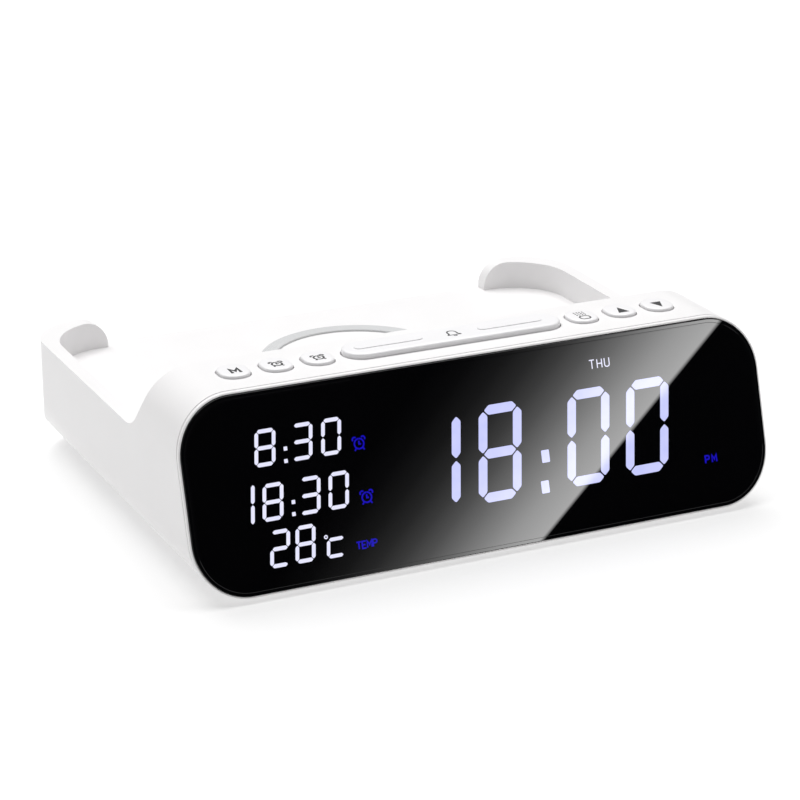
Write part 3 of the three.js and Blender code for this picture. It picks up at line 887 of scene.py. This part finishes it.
def makeLens():
    edge, glint, border = (lensPanel[key] for key in ("edgeInset", "glint", "borderDepth"))
    plug, thickness = lensPanel["plugInset"], lensPanel["thickness"]
    rows = [(lensPanel["plugDepth"], plug), (thickness, plug), (thickness, edge), (border + 0.08, edge)]
    rows += [(border + 0.02, edge + 0.04), (border, edge + 0.12), (border, edge + glint)]
    rows.append((0.0, edge + glint + 0.1))
    shape = Shape().stacked(rows, lambda inset: sectionOutline(inset, 24), behindFace)
    panel = shape.object("lens_panel")
    return finished(panel, smokedLens, "housing", ["display_lens"], lensPanel["sharpAngle"])


makeLens()
print("ring and lens made")


# Lit figures on the display

display = {
    "slant": math.tan(math.radians(7.6)),
    "low": -0.02,
    "proud": 0.035,
    "largeStroke": 2.0,
    "largeDot": 2.0,
    "gap": 0.11,
    "degree": {"place": (-51.8, -15.2), "radius": 0.42, "pen": 0.34},
}
segmentsOf = {"0": "abcdef", "1": "bc", "2": "abged", "3": "abgcd", "8": "abcdefg", "c": "ged"}
figures = [
    # figure, left, bottom, right, top, stroke
    ("1", -22.2, -14.0, -8.4, 13.4, 2.75),
    ("8", -2.7, -14.0, 10.9, 13.4, 2.75),
    ("0", 25.7, -14.0, 39.4, 13.4, 2.75),
    ("0", 44.9, -14.0, 59.0, 13.4, 2.75),
    ("8", -70.9, 7.0, -64.7, 17.2, 1.1),
    ("3", -59.9, 7.0, -53.7, 17.2, 1.1),
    ("0", -51.1, 7.0, -45.1, 17.2, 1.1),
    ("1", -77.0, -8.8, -70.9, 3.2, 1.1),
    ("8", -68.6, -8.1, -62.4, 2.2, 1.1),
    ("3", -57.6, -8.1, -51.35, 2.2, 1.1),
    ("0", -48.95, -8.1, -42.8, 2.2, 1.1),
    ("2", -66.4, -21.1, -60.5, -10.8, 1.1),
    ("8", -58.9, -21.1, -52.9, -10.8, 1.1),
    ("c", -49.5, -21.3, -43.9, -11.0, 1.0),
]
dots = [
    # middle x, middle up, width, height
    (18.1, -3.8, 2.5, 3.6),
    (16.9, -12.5, 2.5, 3.6),
    (-60.3, 10.9, 1.05, 1.1),
    (-60.6, 7.5, 1.05, 1.1),
    (-60.0, -4.0, 1.05, 1.1),
    (-60.3, -7.3, 1.05, 1.1),
]


def softened(points, radius, steps=2):
    # The same outline with each corner cut to a small round.
    made = []
    count = len(points)
    for index, point in enumerate(points):
        here = Vector(point)
        before = Vector(points[index - 1]) - here
        after = Vector(points[(index + 1) % count]) - here
        reach = min(radius, before.length * 0.4, after.length * 0.4)
        start = here + before.normalized() * reach
        end = here + after.normalized() * reach
        for step in range(steps + 1):
            along = step / steps
            made.append(tuple(start * (1 - along) ** 2 + here * 2 * along * (1 - along) + end * along ** 2))
    return made


def bar(start, end, half, gap):
    # One pointed segment between two corners of a figure.
    way = (Vector(end) - Vector(start)).normalized()
    across = Vector((-way.y, way.x)) * half
    first = Vector(start) + way * gap
    last = Vector(end) - way * gap
    inFirst, inLast = first + way * half, last - way * half
    return [first, inFirst - across, inLast - across, last, inLast + across, inFirst + across]


def figureBars(figure, left, bottom, right, top, stroke):
    half = stroke / 2
    gap = stroke * display["gap"]
    low, high = bottom + half, top - half
    middle = (low + high) / 2
    near, far = left + half, right - half
    corners = {
        "a": ((near, high), (far, high)),
        "b": ((far, middle), (far, high)),
        "c": ((far, low), (far, middle)),
        "d": ((near, low), (far, low)),
        "e": ((near, low), (near, middle)),
        "f": ((near, middle), (near, high)),
        "g": ((near, middle), (far, middle)),
    }
    bars = []
    for name in segmentsOf[figure]:
        start, end = corners[name]
        points = bar(start, end, half, gap)
        bars.append([(point[0] + point[1] * display["slant"], point[1]) for point in points])
    return bars


def plates(name, outlines, material, rides="housing", place=onFace, span=None):
    # Thin flat shapes standing just clear of the surface they are printed on.
    start, end = span or (display["low"], display["proud"])
    shape = Shape()
    for outline in outlines:
        shape.loft([place(outline, start), place(outline, end)])
    return finished(shape.object(name), material, rides)


def moved(points, x, y, size=1.0):
    return [(x + point[0] * size, y + point[1] * size) for point in points]


def stroked(points, width):
    # A polyline drawn with a flat pen, as one outline.
    left, right = [], []
    for index, point in enumerate(points):
        here = Vector(point)
        ways = []
        if index:
            ways.append((here - Vector(points[index - 1])).normalized())
        if index < len(points) - 1:
            ways.append((Vector(points[index + 1]) - here).normalized())
        way = sum(ways, Vector((0.0, 0.0))).normalized()
        across = Vector((-way.y, way.x)) * (width / 2 / max(0.5, way.dot(ways[0])))
        left.append(tuple(here + across))
        right.append(tuple(here - across))
    return right + list(reversed(left))


def alarmIcon(weight):
    # A bell clock four units tall: face, two bells, two feet and its hands.
    face = stroked(arc((0.0, 0.0), 1.45, 92, 448, 28), weight)
    turns = ((-1, 45), (1, -35))
    bells = [stroked(arc((side * 1.3, 1.35), 0.62, turn, turn + 170, 6), weight) for side, turn in turns]
    feet = [stroked([(side * 1.0, -1.2), (side * 1.5, -1.85)], weight) for side in (-1, 1)]
    hands = [stroked([(0.0, 0.85), (0.0, -0.1), (0.6, -0.1)], weight)]
    return [face] + bells + feet + hands


letters = {
    "T": [[(0, 4), (2.6, 4)], [(1.3, 3.8), (1.3, 0)]],
    "H": [[(0, 4), (0, 0)], [(2.4, 4), (2.4, 0)], [(0.2, 2), (2.2, 2)]],
    "U": [[(0, 4), (0, 0.9), (0.35, 0.25), (1.2, 0), (2.05, 0.25), (2.4, 0.9), (2.4, 4)]],
    "P": [[(0, 0), (0, 4), (1.7, 4), (2.4, 3.5), (2.4, 2.5), (1.7, 2), (0.2, 2)]],
    "M": [[(0, 0), (0, 4), (1.4, 1.5), (2.8, 4), (2.8, 0)]],
    "E": [[(2.3, 4), (0, 4), (0, 0), (2.3, 0)], [(0.2, 2), (1.9, 2)]],
}
letterWidths = {"T": 2.6, "H": 2.4, "U": 2.4, "P": 2.4, "M": 2.8, "E": 2.3}


def wordOutlines(word, left, bottom, height, pen, spacing):
    size = height / 4
    made = []
    x = left
    for letter in word:
        for line in letters[letter]:
            made.append(stroked(moved(line, x, bottom, size), pen))
        x += (letterWidths[letter] + spacing) * size
    return made


# Each legend is its word, left end, bottom, height, pen width and spacing.
legends = {
    "weekday": ("THU", 35.5, 18.7, 2.5, 0.3, 1.45),
    "afternoon": ("PM", 69.8, -14.2, 2.1, 0.5, 1.9),
    "warmth": ("TEMP", -43.0, -20.2, 1.95, 0.42, 0.8),
}
icons = {"places": ((-38.5, 8.8), (-38.2, -6.3)), "size": 0.98, "pen": 0.46}


def makeDisplay():
    large, small = [], []
    for entry in figures:
        stroke = entry[5]
        row = large if stroke > display["largeStroke"] else small
        row += [softened(points, stroke * 0.14) for points in figureBars(*entry)]
    for x, up, width, height in dots:
        row = large if width > display["largeDot"] else small
        halfWidth, halfHeight = width / 2, height / 2
        corners = [(x - halfWidth, up - halfHeight), (x + halfWidth, up - halfHeight)]
        corners += [(x + halfWidth, up + halfHeight), (x - halfWidth, up + halfHeight)]
        row.append(softened(corners, width * 0.12))
    degree = display["degree"]
    small.append(stroked(arc(degree["place"], degree["radius"], 0, 350, 14), degree["pen"]))
    plates("lit_figures", large, whiteLight)
    plates("lit_small_figures", small, paleLight)
    plates("lit_weekday", wordOutlines(*legends["weekday"]), paleLight)
    blue = wordOutlines(*legends["afternoon"]) + wordOutlines(*legends["warmth"])
    for x, up in icons["places"]:
        blue += [moved(points, x, up, icons["size"]) for points in alarmIcon(icons["pen"])]
    plates("lit_symbols", blue, blueLight)


makeDisplay()
print("display lit")


# Keys

keyCap = {"flange": (52.2, 53.4, 1.0), "stem": 1.5}
# Each row is how far below the top it lies and how far it draws in.
keyRows = [(0.5, 0.0), (0.34, 0.05), (0.2, 0.17), (0.1, 0.38), (0.045, 0.8), (0.015, 1.6), (0.0, 2.8)]


def keyShape(outlineFor, top, rows, stems):
    low, high, margin = keyCap["flange"]
    loops = [(low, margin), (high, margin), (high, 0.0)] + [(top - drop, -inset) for drop, inset in rows]
    shape = Shape().stacked(loops, outlineFor, level)
    for x, bottom in stems:
        outline = ringOutline(keyCap["stem"], 20, (x, keyRow["y"]))
        shape.loft([level(outline, bottom), level(outline, low + 0.4)])
    return shape


def makeKeys():
    for name in keyNames:
        low, high = boxOf(name + "_button")
        x = keyPlaces[name]
        shape = keyShape(lambda edge: keyOutline(x, edge), high.z, keyRows, [(x, low.z)])
        finished(shape.object(name + "_key"), whiteKeys, name + "_button", [name + "_button"])


makeKeys()

snoozeRows = [(0.62, 0.0), (0.42, 0.07), (0.24, 0.22), (0.11, 0.45), (0.03, 0.8), (0.0, 1.25)]
snoozeRibs = {"spans": ((-30.8, -9.6), (8.1, 28.6)), "width": 3.0, "rise": 0.3, "stemX": 22.0}


def makeSnooze():
    low, high = boxOf("snooze_bar")
    width, rise = snoozeRibs["width"], snoozeRibs["rise"]
    top = high.z - rise
    stems = [(side * snoozeRibs["stemX"], low.z) for side in (-1, 1)]
    shape = keyShape(snoozeOutline, top, snoozeRows, stems)
    rows = [(top - 0.4, 0.0), (top + (rise - 0.14), 0.0), (top + (rise - 0.04), 0.06), (top + rise, 0.2)]
    for left, right in snoozeRibs["spans"]:
        middle = ((left + right) / 2, keyRow["y"])
        shape.stacked(rows, lambda inset: roundedOutline(
            right - left - 2 * inset, width - 2 * inset, width / 2 - inset - 0.01, 8, middle,
        ), level)
    finished(shape.object("snooze_key"), whiteKeys, "snooze_bar", ["snooze_bar"])
    return top


snoozeTop = makeSnooze()

symbols = {
    "pen": 0.56,
    "finePen": 0.6 * 0.56,
    "low": -0.05,
    "proud": 0.02,
    "y": -43.2,
    "iconSize": 1.35,
    "letter": {"left": -1.15, "bottom": -1.85, "size": 0.86, "pen": 0.9},
}


def lampIcon(pen):
    # A small lamp head with three rows of rays above it.
    head = roundedOutline(2.3, 1.9, 0.75, 6, (0.0, -1.0))
    drawn = [stroked(head + head[:1], pen)]
    for up in (0.55, 1.35, 2.15):
        drawn += [stroked([(x, up), (x, up + 0.45)], pen) for x in (-1.0, -0.34, 0.34, 1.0)]
    return drawn


def bellIcon(pen):
    dome = arc((0.0, 0.35), 1.0, 180, 0, 12)
    bell = [(-1.5, -1.1), (-1.0, -0.6)] + dome + [(1.0, -0.6), (1.5, -1.1)]
    rim = [(-1.6, -1.2), (1.6, -1.2)]
    clapper = arc((0.0, -1.45), 0.4, 200, 340, 6)
    return [stroked(line, pen) for line in (bell, rim, clapper)]


def printed(name, outlines, rides, top):
    span = (top + symbols["low"], top + symbols["proud"])
    plates(name, outlines, printInk, rides, level, span)


def makeSymbols():
    pen, finePen = symbols["pen"], symbols["finePen"]
    size = symbols["iconSize"]
    letter = symbols["letter"]
    modeLetter = moved(letters["M"][0], letter["left"], letter["bottom"], letter["size"])
    drawn = {
        "mode": [stroked(modeLetter, letter["pen"])],
        "alarm1": alarmIcon(pen),
        "alarm2": alarmIcon(pen),
        "light": [moved(points, 0.0, 0.0, size) for points in lampIcon(finePen)],
        "up": [[(-1.75, -2.1), (1.75, -2.1), (0.0, 2.5)]],
        "down": [[(-1.75, 2.1), (0.0, -2.5), (1.75, 2.1)]],
    }
    for name, outlines in drawn.items():
        placed = [moved(points, keyPlaces[name], symbols["y"]) for points in outlines]
        printed(name + "_symbol", placed, name + "_button", boxOf(name + "_button")[1].z)
    bell = [moved(points, 0.0, keyRow["y"], size) for points in bellIcon(finePen)]
    printed("snooze_symbol", bell, "snooze_bar", snoozeTop)


makeSymbols()
print("keys and symbols made")


# Base cover, feet and screws

cover = {
    "edge": 0.4,
    "cup": 4.4,
    "cupTop": 5.5,
    "headRoom": 3.0,
    "headTop": 4.0,
    "hole": 1.6,
    "footWell": 7.3,
    "footWellTop": 2.4,
    "support": {"x": (-50.0, 50.0), "y": (-40.0, 30.0), "z": (3.0, 10.3), "radius": 2.4},
}


def makeBase():
    bottom = body["bottom"]
    edge = cover["edge"]
    ledge = base["stepZ"] - base["gap"]
    rows = [(bottom, edge), (bottom + 0.12, 0.12), (bottom + edge, 0.0), (ledge, 0.0), (ledge, base["step"])]
    rows.append((bottom + body["wall"], base["step"]))
    plate = Shape().stacked(rows, baseOutline, level).object("base_panel")
    screwPlaces = [middleOf(f"case_screw_{number}") for number in range(1, 5)]
    for place in screwPlaces:
        cup = ringOutline(cover["cup"], 28, (place.x, place.y))
        carve(plate, prism(cup, level, ledge, cover["cupTop"]), "UNION")
    # Each hole is cut by itself, because the mouths at the back lie close together.
    room, well, hole = cover["headRoom"], cover["footWell"], cover["hole"]
    screwRows = [(0.0, room + 0.25), (bottom, room + 0.25), (bottom + 0.1, room + 0.08)]
    screwRows += [(bottom + 0.35, room), (cover["headTop"], room)]
    screwRows += [(cover["headTop"], hole), (cover["cupTop"] + 1, hole)]
    wellRows = [(0.0, well + 0.1), (bottom, well + 0.1), (bottom + 0.2, well), (cover["footWellTop"], well)]
    for number, place in enumerate(screwPlaces, 1):
        foot = middleOf(f"foot_{number}")
        for rows, centre, steps in ((screwRows, place, 28), (wellRows, foot, 40)):
            carve(plate, Shape().stacked(rows, circleAbout(centre, steps), level).object("cutter"))
    support = cover["support"]
    supports = Shape()
    for x in support["x"]:
        for y in support["y"]:
            outline = ringOutline(support["radius"], 18, (x, y))
            supports.loft([level(outline, z) for z in support["z"]])
    joinInto(plate, supports.object("supports"))
    finished(plate, whiteShell, "housing", ["base_cover"])


makeBase()

footPad = {
    "radius": 7.0,
    "rows": [
        # height, how far in from the rim
        (2.3, 0.05), (0.45, 0.25), (0.18, 0.35), (0.04, 0.55), (0.0, 0.9), (0.0, 1.6), (0.22, 1.8),
        (0.22, 2.2), (0.0, 2.4), (0.0, 3.4), (0.22, 3.6), (0.22, 4.0), (0.0, 4.2), (0.0, 6.2),
    ],
}
screwLook = {"head": 2.6, "headHeight": 1.6, "shank": 1.25, "tip": 0.5, "socket": 1.3, "socketDepth": 0.9}


def makeFixings():
    for number in range(1, 5):
        node = f"foot_{number}"
        rows = [(height, footPad["radius"] - inset) for height, inset in footPad["rows"]]
        pad = Shape().stacked(rows, circleAbout(middleOf(node), 40), level).object("rubber_" + node)
        finished(pad, footRubber, "housing", [node])
        node = f"case_screw_{number}"
        low, high = boxOf(node)
        place = middleOf(node)
        head, shank = screwLook["head"], screwLook["shank"]
        neck = low.z + screwLook["headHeight"]
        rows = [(low.z, head - 0.45), (low.z + 0.12, head - 0.15), (low.z + 0.4, head), (neck, head)]
        rows += [(neck, shank), (high.z - 1.0, shank), (high.z, screwLook["tip"])]
        screw = Shape().stacked(rows, circleAbout(place, 28), level).object(f"cover_screw_{number}")
        socket = ringOutline(screwLook["socket"], 6, (place.x, place.y))
        carve(screw, prism(socket, level, low.z - 1, low.z + screwLook["socketDepth"]))
        finished(screw, brightSteel, "housing", [node])


makeFixings()
print("base, feet and screws made")


# Sockets in the rear wall

sockets = {
    "usb": {"wall": 0.4, "tongue": (11.0, 1.8), "pins": 4, "pinWidth": 1.1, "pinPitch": 2.4},
    "inlet": {"wall": 0.35, "tongue": (6.7, 0.7), "pins": 12, "pinWidth": 0.25, "pinPitch": 0.5},
}


def makeSocket(key, node, names):
    place = middleOf(node)
    back, mouth = boxOf(node)[0].y, boxOf(node)[1].y
    look = sockets[key]
    wall = look["wall"]
    rows = [(back, 0.0), (mouth - 0.15, 0.0), (mouth - 0.03, 0.06), (mouth, wall / 2)]
    rows += [(mouth - 0.03, wall - 0.06), (mouth - 0.2, wall), (back + 1.2, wall)]
    shell = Shape().stacked(rows, lambda inset: portOutline(key, node, inset), upFront)
    finished(shell.object(names[0]), brightSteel, "housing", [node])
    width, height = look["tongue"]
    rows = [(back + 1.0, 0.0), (mouth - 1.2, 0.0), (mouth - 1.0, 0.12)]
    tongue = Shape().stacked(rows, lambda inset: roundedOutline(
        width - 2 * inset, height - 2 * inset, 0.2, 4, (place.x, place.z),
    ), upFront)
    finished(tongue.object(names[1]), blackPlastic, "housing")
    pins = Shape()
    half = look["pinWidth"] / 2
    low, high = place.z - height / 2 - 0.04, place.z - height / 2 + 0.02
    for step in range(look["pins"]):
        x = place.x + (step - (look["pins"] - 1) / 2) * look["pinPitch"]
        outline = [(x - half, low), (x + half, low), (x + half, high), (x - half, high)]
        pins.loft([upFront(outline, back + 1.6), upFront(outline, mouth - 1.6)])
    finished(pins.object(names[2]), foilCopper, "housing")


makeSocket("usb", "usb_port", ("usb_shell", "usb_tongue", "usb_contacts"))
makeSocket("inlet", "power_inlet", ("inlet_shell", "inlet_tongue", "inlet_contacts"))
print("sockets made")


# Grip ring in the tray

grip = {"outer": 30.0, "inner": 25.5, "ridges": 4, "ridgeRise": 0.16}


def makeGrip():
    low, high = boxOf("charging_pad")
    outer, inner = grip["outer"], grip["inner"]
    valley = high.z - grip["ridgeRise"]
    rows = [(low.z, outer), (valley - 0.15, outer), (valley, outer - 0.15)]
    pitch = (outer - inner - 0.5) / grip["ridges"]
    for step in range(grip["ridges"]):
        radius = outer - 0.25 - step * pitch
        rows += [(valley, radius), (high.z, radius - pitch * 0.25), (high.z, radius - pitch * 0.6)]
        rows.append((valley, radius - pitch * 0.85))
    rows += [(valley, inner + 0.15), (valley - 0.15, inner), (low.z, inner)]
    shape = Shape().stacked(rows, circleAbout(middleOf("charging_pad"), 96), level, closed=True)
    finished(shape.object("grip_ring"), gripRubber, "housing", ["charging_pad"])


makeGrip()
print("grip ring made")


# Parts that keep their CAD solids

inside = {
    "display_gasket": blackFoam,
    "led_reflector": boxWhite,
    "led_board": plainBoard,
    "button_board": plainBoard,
    "main_board": mainBoardFinish,
    "charger_board": chargerBoardFinish,
    "cell_holder": blackPlastic,
    "backup_cell": brightSteel,
    "temperature_sensor": blackPlastic,
    "antenna_strip": foilCopper,
    "charging_coil": coilCopper,
    "ferrite_plate": ferriteGrey,
}
for keyName in keyNames + ["snooze_left", "snooze_right"]:
    inside[keyName + "_switch"] = blackPlastic
    inside[keyName + "_plunger"] = brightSteel
for side in ("left", "right"):
    inside[side + "_speaker_gasket"] = blackFoam
    inside[side + "_speaker_basket"] = blackPlastic
    inside[side + "_speaker_magnet"] = brightSteel
    inside[side + "_speaker_cone"] = coneFibre

insideEdges = {"angle": 35.0, "width": 0.15}


def dressInside():
    for node, material in inside.items():
        thing = bpy.data.objects[node]
        if not thing.material_slots:
            thing.data.materials.append(None)
        for slot in thing.material_slots:
            slot.link = "OBJECT"
            slot.material = material
        flatten = thing.modifiers.new("flatten", "DECIMATE")
        flatten.decimate_type = "DISSOLVE"
        flatten.angle_limit = math.radians(1.0)
        ease = thing.modifiers.new("ease", "BEVEL")
        ease.limit_method = "ANGLE"
        ease.angle_limit = math.radians(insideEdges["angle"])
        ease.width = insideEdges["width"] * mm
        ease.segments = 2
        even = thing.modifiers.new("even", "WEIGHTED_NORMAL")
        even.keep_sharp = True


dressInside()
print("inner parts finished")


# Floor, reflection card and lights

stage = {"floor": tint(0.6, 0.6, 0.6), "cloud": tint(0.58, 0.58, 0.58), "glow": 0.42, "floorSize": 8.0}


def makeFloor():
    finish = Finish("paleFloor")
    cloud = finish.noise(400, 2)
    pale = finish.blend(cloud * 0.2, stage["floor"], stage["cloud"])
    material = finish.surface({
        "Base Color": pale,
        "Roughness": 0.9,
        "Specular IOR Level": 0.0,
        "Emission Color": tint(1.0, 1.0, 1.0),
        "Emission Strength": stage["glow"],
    })
    half = stage["floorSize"] / 2 / mm
    corners = [(-half, -half, 0.0), (half, -half, 0.0), (half, half, 0.0), (-half, half, 0.0)]
    data = bpy.data.meshes.new("floor")
    data.from_pydata([Vector(corner) * mm for corner in corners], [], [(0, 1, 2, 3)])
    data.materials.append(material)
    floor = bpy.data.objects.new("floor", data)
    scene.collection.objects.link(floor)


makeFloor()

# The soft window seen in the display: it fades to the left and ends on one slanting line.
card = {
    "edge": ((13.3, -27.4), (79.3, 26.5)),
    "beyond": 90.0,
    "toLeft": 190.0,
    "toRight": 110.0,
    "fan": (0.83, 0.315),  # the fade is shorter at the lower end of the line
    "cells": (12, 30),
    "distance": 0.62,  # metres along the mirrored view
    "gloss": 0.043,
    "fade": [
        # millimetres left of the line, brightness in the display
        (0.0, 0.41), (8.0, 0.32), (14.0, 0.225), (20.0, 0.145), (26.0, 0.082),
        (32.0, 0.043), (38.0, 0.02), (45.0, 0.0075), (53.0, 0.002), (62.0, 0.0),
    ],
}


def makeCard():
    start, end = (Vector(point) for point in card["edge"])
    way = (end - start).normalized()
    left = Vector((-way.y, way.x))
    start = start - way * card["beyond"]
    end = end + way * card["beyond"]
    normal = Vector((0.0, -leanCosine, leanSine))
    middle = Vector((0.0, body["faceY"], body["middleZ"])) * mm
    eye = Vector(camera["place"])
    mirrored = eye - normal * (2 * (eye - middle).dot(normal))
    bounce = viewDirection - normal * (2 * viewDirection.dot(normal))
    rows, columns = card["cells"]
    total = card["toLeft"] + card["toRight"]
    corners, places, cells = [], [], []
    for row in range(rows + 1):
        along = row / rows
        spread = card["fan"][0] + card["fan"][1] * along
        for column in range(columns + 1):
            across = column / columns
            point = start.lerp(end, along) + left * (across * total - card["toRight"]) * spread
            onLens = Vector(onFace([tuple(point)], 0.0)[0]) * mm
            ray = (onLens - mirrored).normalized()
            reach = (middle + bounce * card["distance"] - onLens).dot(bounce) / ray.dot(bounce)
            corners.append(onLens + ray * reach)
            places.append((across, along))
            if row and column:
                first = (row - 1) * (columns + 1) + column - 1
                cells.append((first, first + 1, first + columns + 2, first + columns + 1))
    data = bpy.data.meshes.new("window_card")
    data.from_pydata(corners, [], cells)
    layer = data.uv_layers.new(name="across")
    for loop, corner in zip(data.loops, layer.data):
        corner.uv = places[loop.vertex_index]
    finish = Finish("windowGlow")
    line = card["toRight"] / total
    peak = card["fade"][0][1]
    stops = [(0.0, tint(0, 0, 0)), (line - 0.001, tint(0, 0, 0))]
    for reach, brightness in card["fade"]:
        share = brightness / peak
        stops.append((line + reach / total, tint(share, share, share)))
    place = finish.node("UVMap", {"uv_map": "across"})
    run = finish.node("SeparateXYZ", None, {"Vector": place}, output="X")
    colour = finish.node("ValToRGB", {"stops": stops}, {"Fac": run})
    glow = finish.node("Emission", None, {"Color": colour, "Strength": peak / card["gloss"]})
    finish.node("OutputMaterial", None, {"Surface": glow})
    data.materials.append(finish.material)
    thing = bpy.data.objects.new("window_card", data)
    scene.collection.objects.link(thing)
    thing.visible_camera = False
    thing.visible_diffuse = False
    thing.visible_transmission = False
    thing.visible_shadow = False


makeCard()

lamps = [
    # name, place, aim, width, power, colour
    ("topLamp", (0.0, 0.5, 1.6), (0.0, 0.0, 0.0), 2.0, 40.0, (1.0, 1.0, 1.0)),
    ("sideLamp", (1.2, -0.5, 0.9), (0.0, 0.0, 0.0), 0.8, 1.2, (1.0, 1.0, 1.0)),
]
sky = {"colour": tint(1.0, 1.0, 1.0), "strength": 0.24}


def makeLights():
    for name, place, aim, width, power, colour in lamps:
        data = bpy.data.lights.new(name, "AREA")
        data.shape = "SQUARE"
        data.size = width
        data.energy = power
        data.color = colour
        lamp = bpy.data.objects.new(name, data)
        lamp.location = place
        lamp.rotation_euler = (Vector(aim) - Vector(place)).to_track_quat("-Z", "Y").to_euler()
        scene.collection.objects.link(lamp)
    world = bpy.data.worlds.new("studio")
    world.use_nodes = True
    background = world.node_tree.nodes["Background"]
    background.inputs["Color"].default_value = sky["colour"]
    background.inputs["Strength"].default_value = sky["strength"]
    scene.world = world
    scene.view_settings.view_transform = "Standard"


makeLights()
print("stage lit")
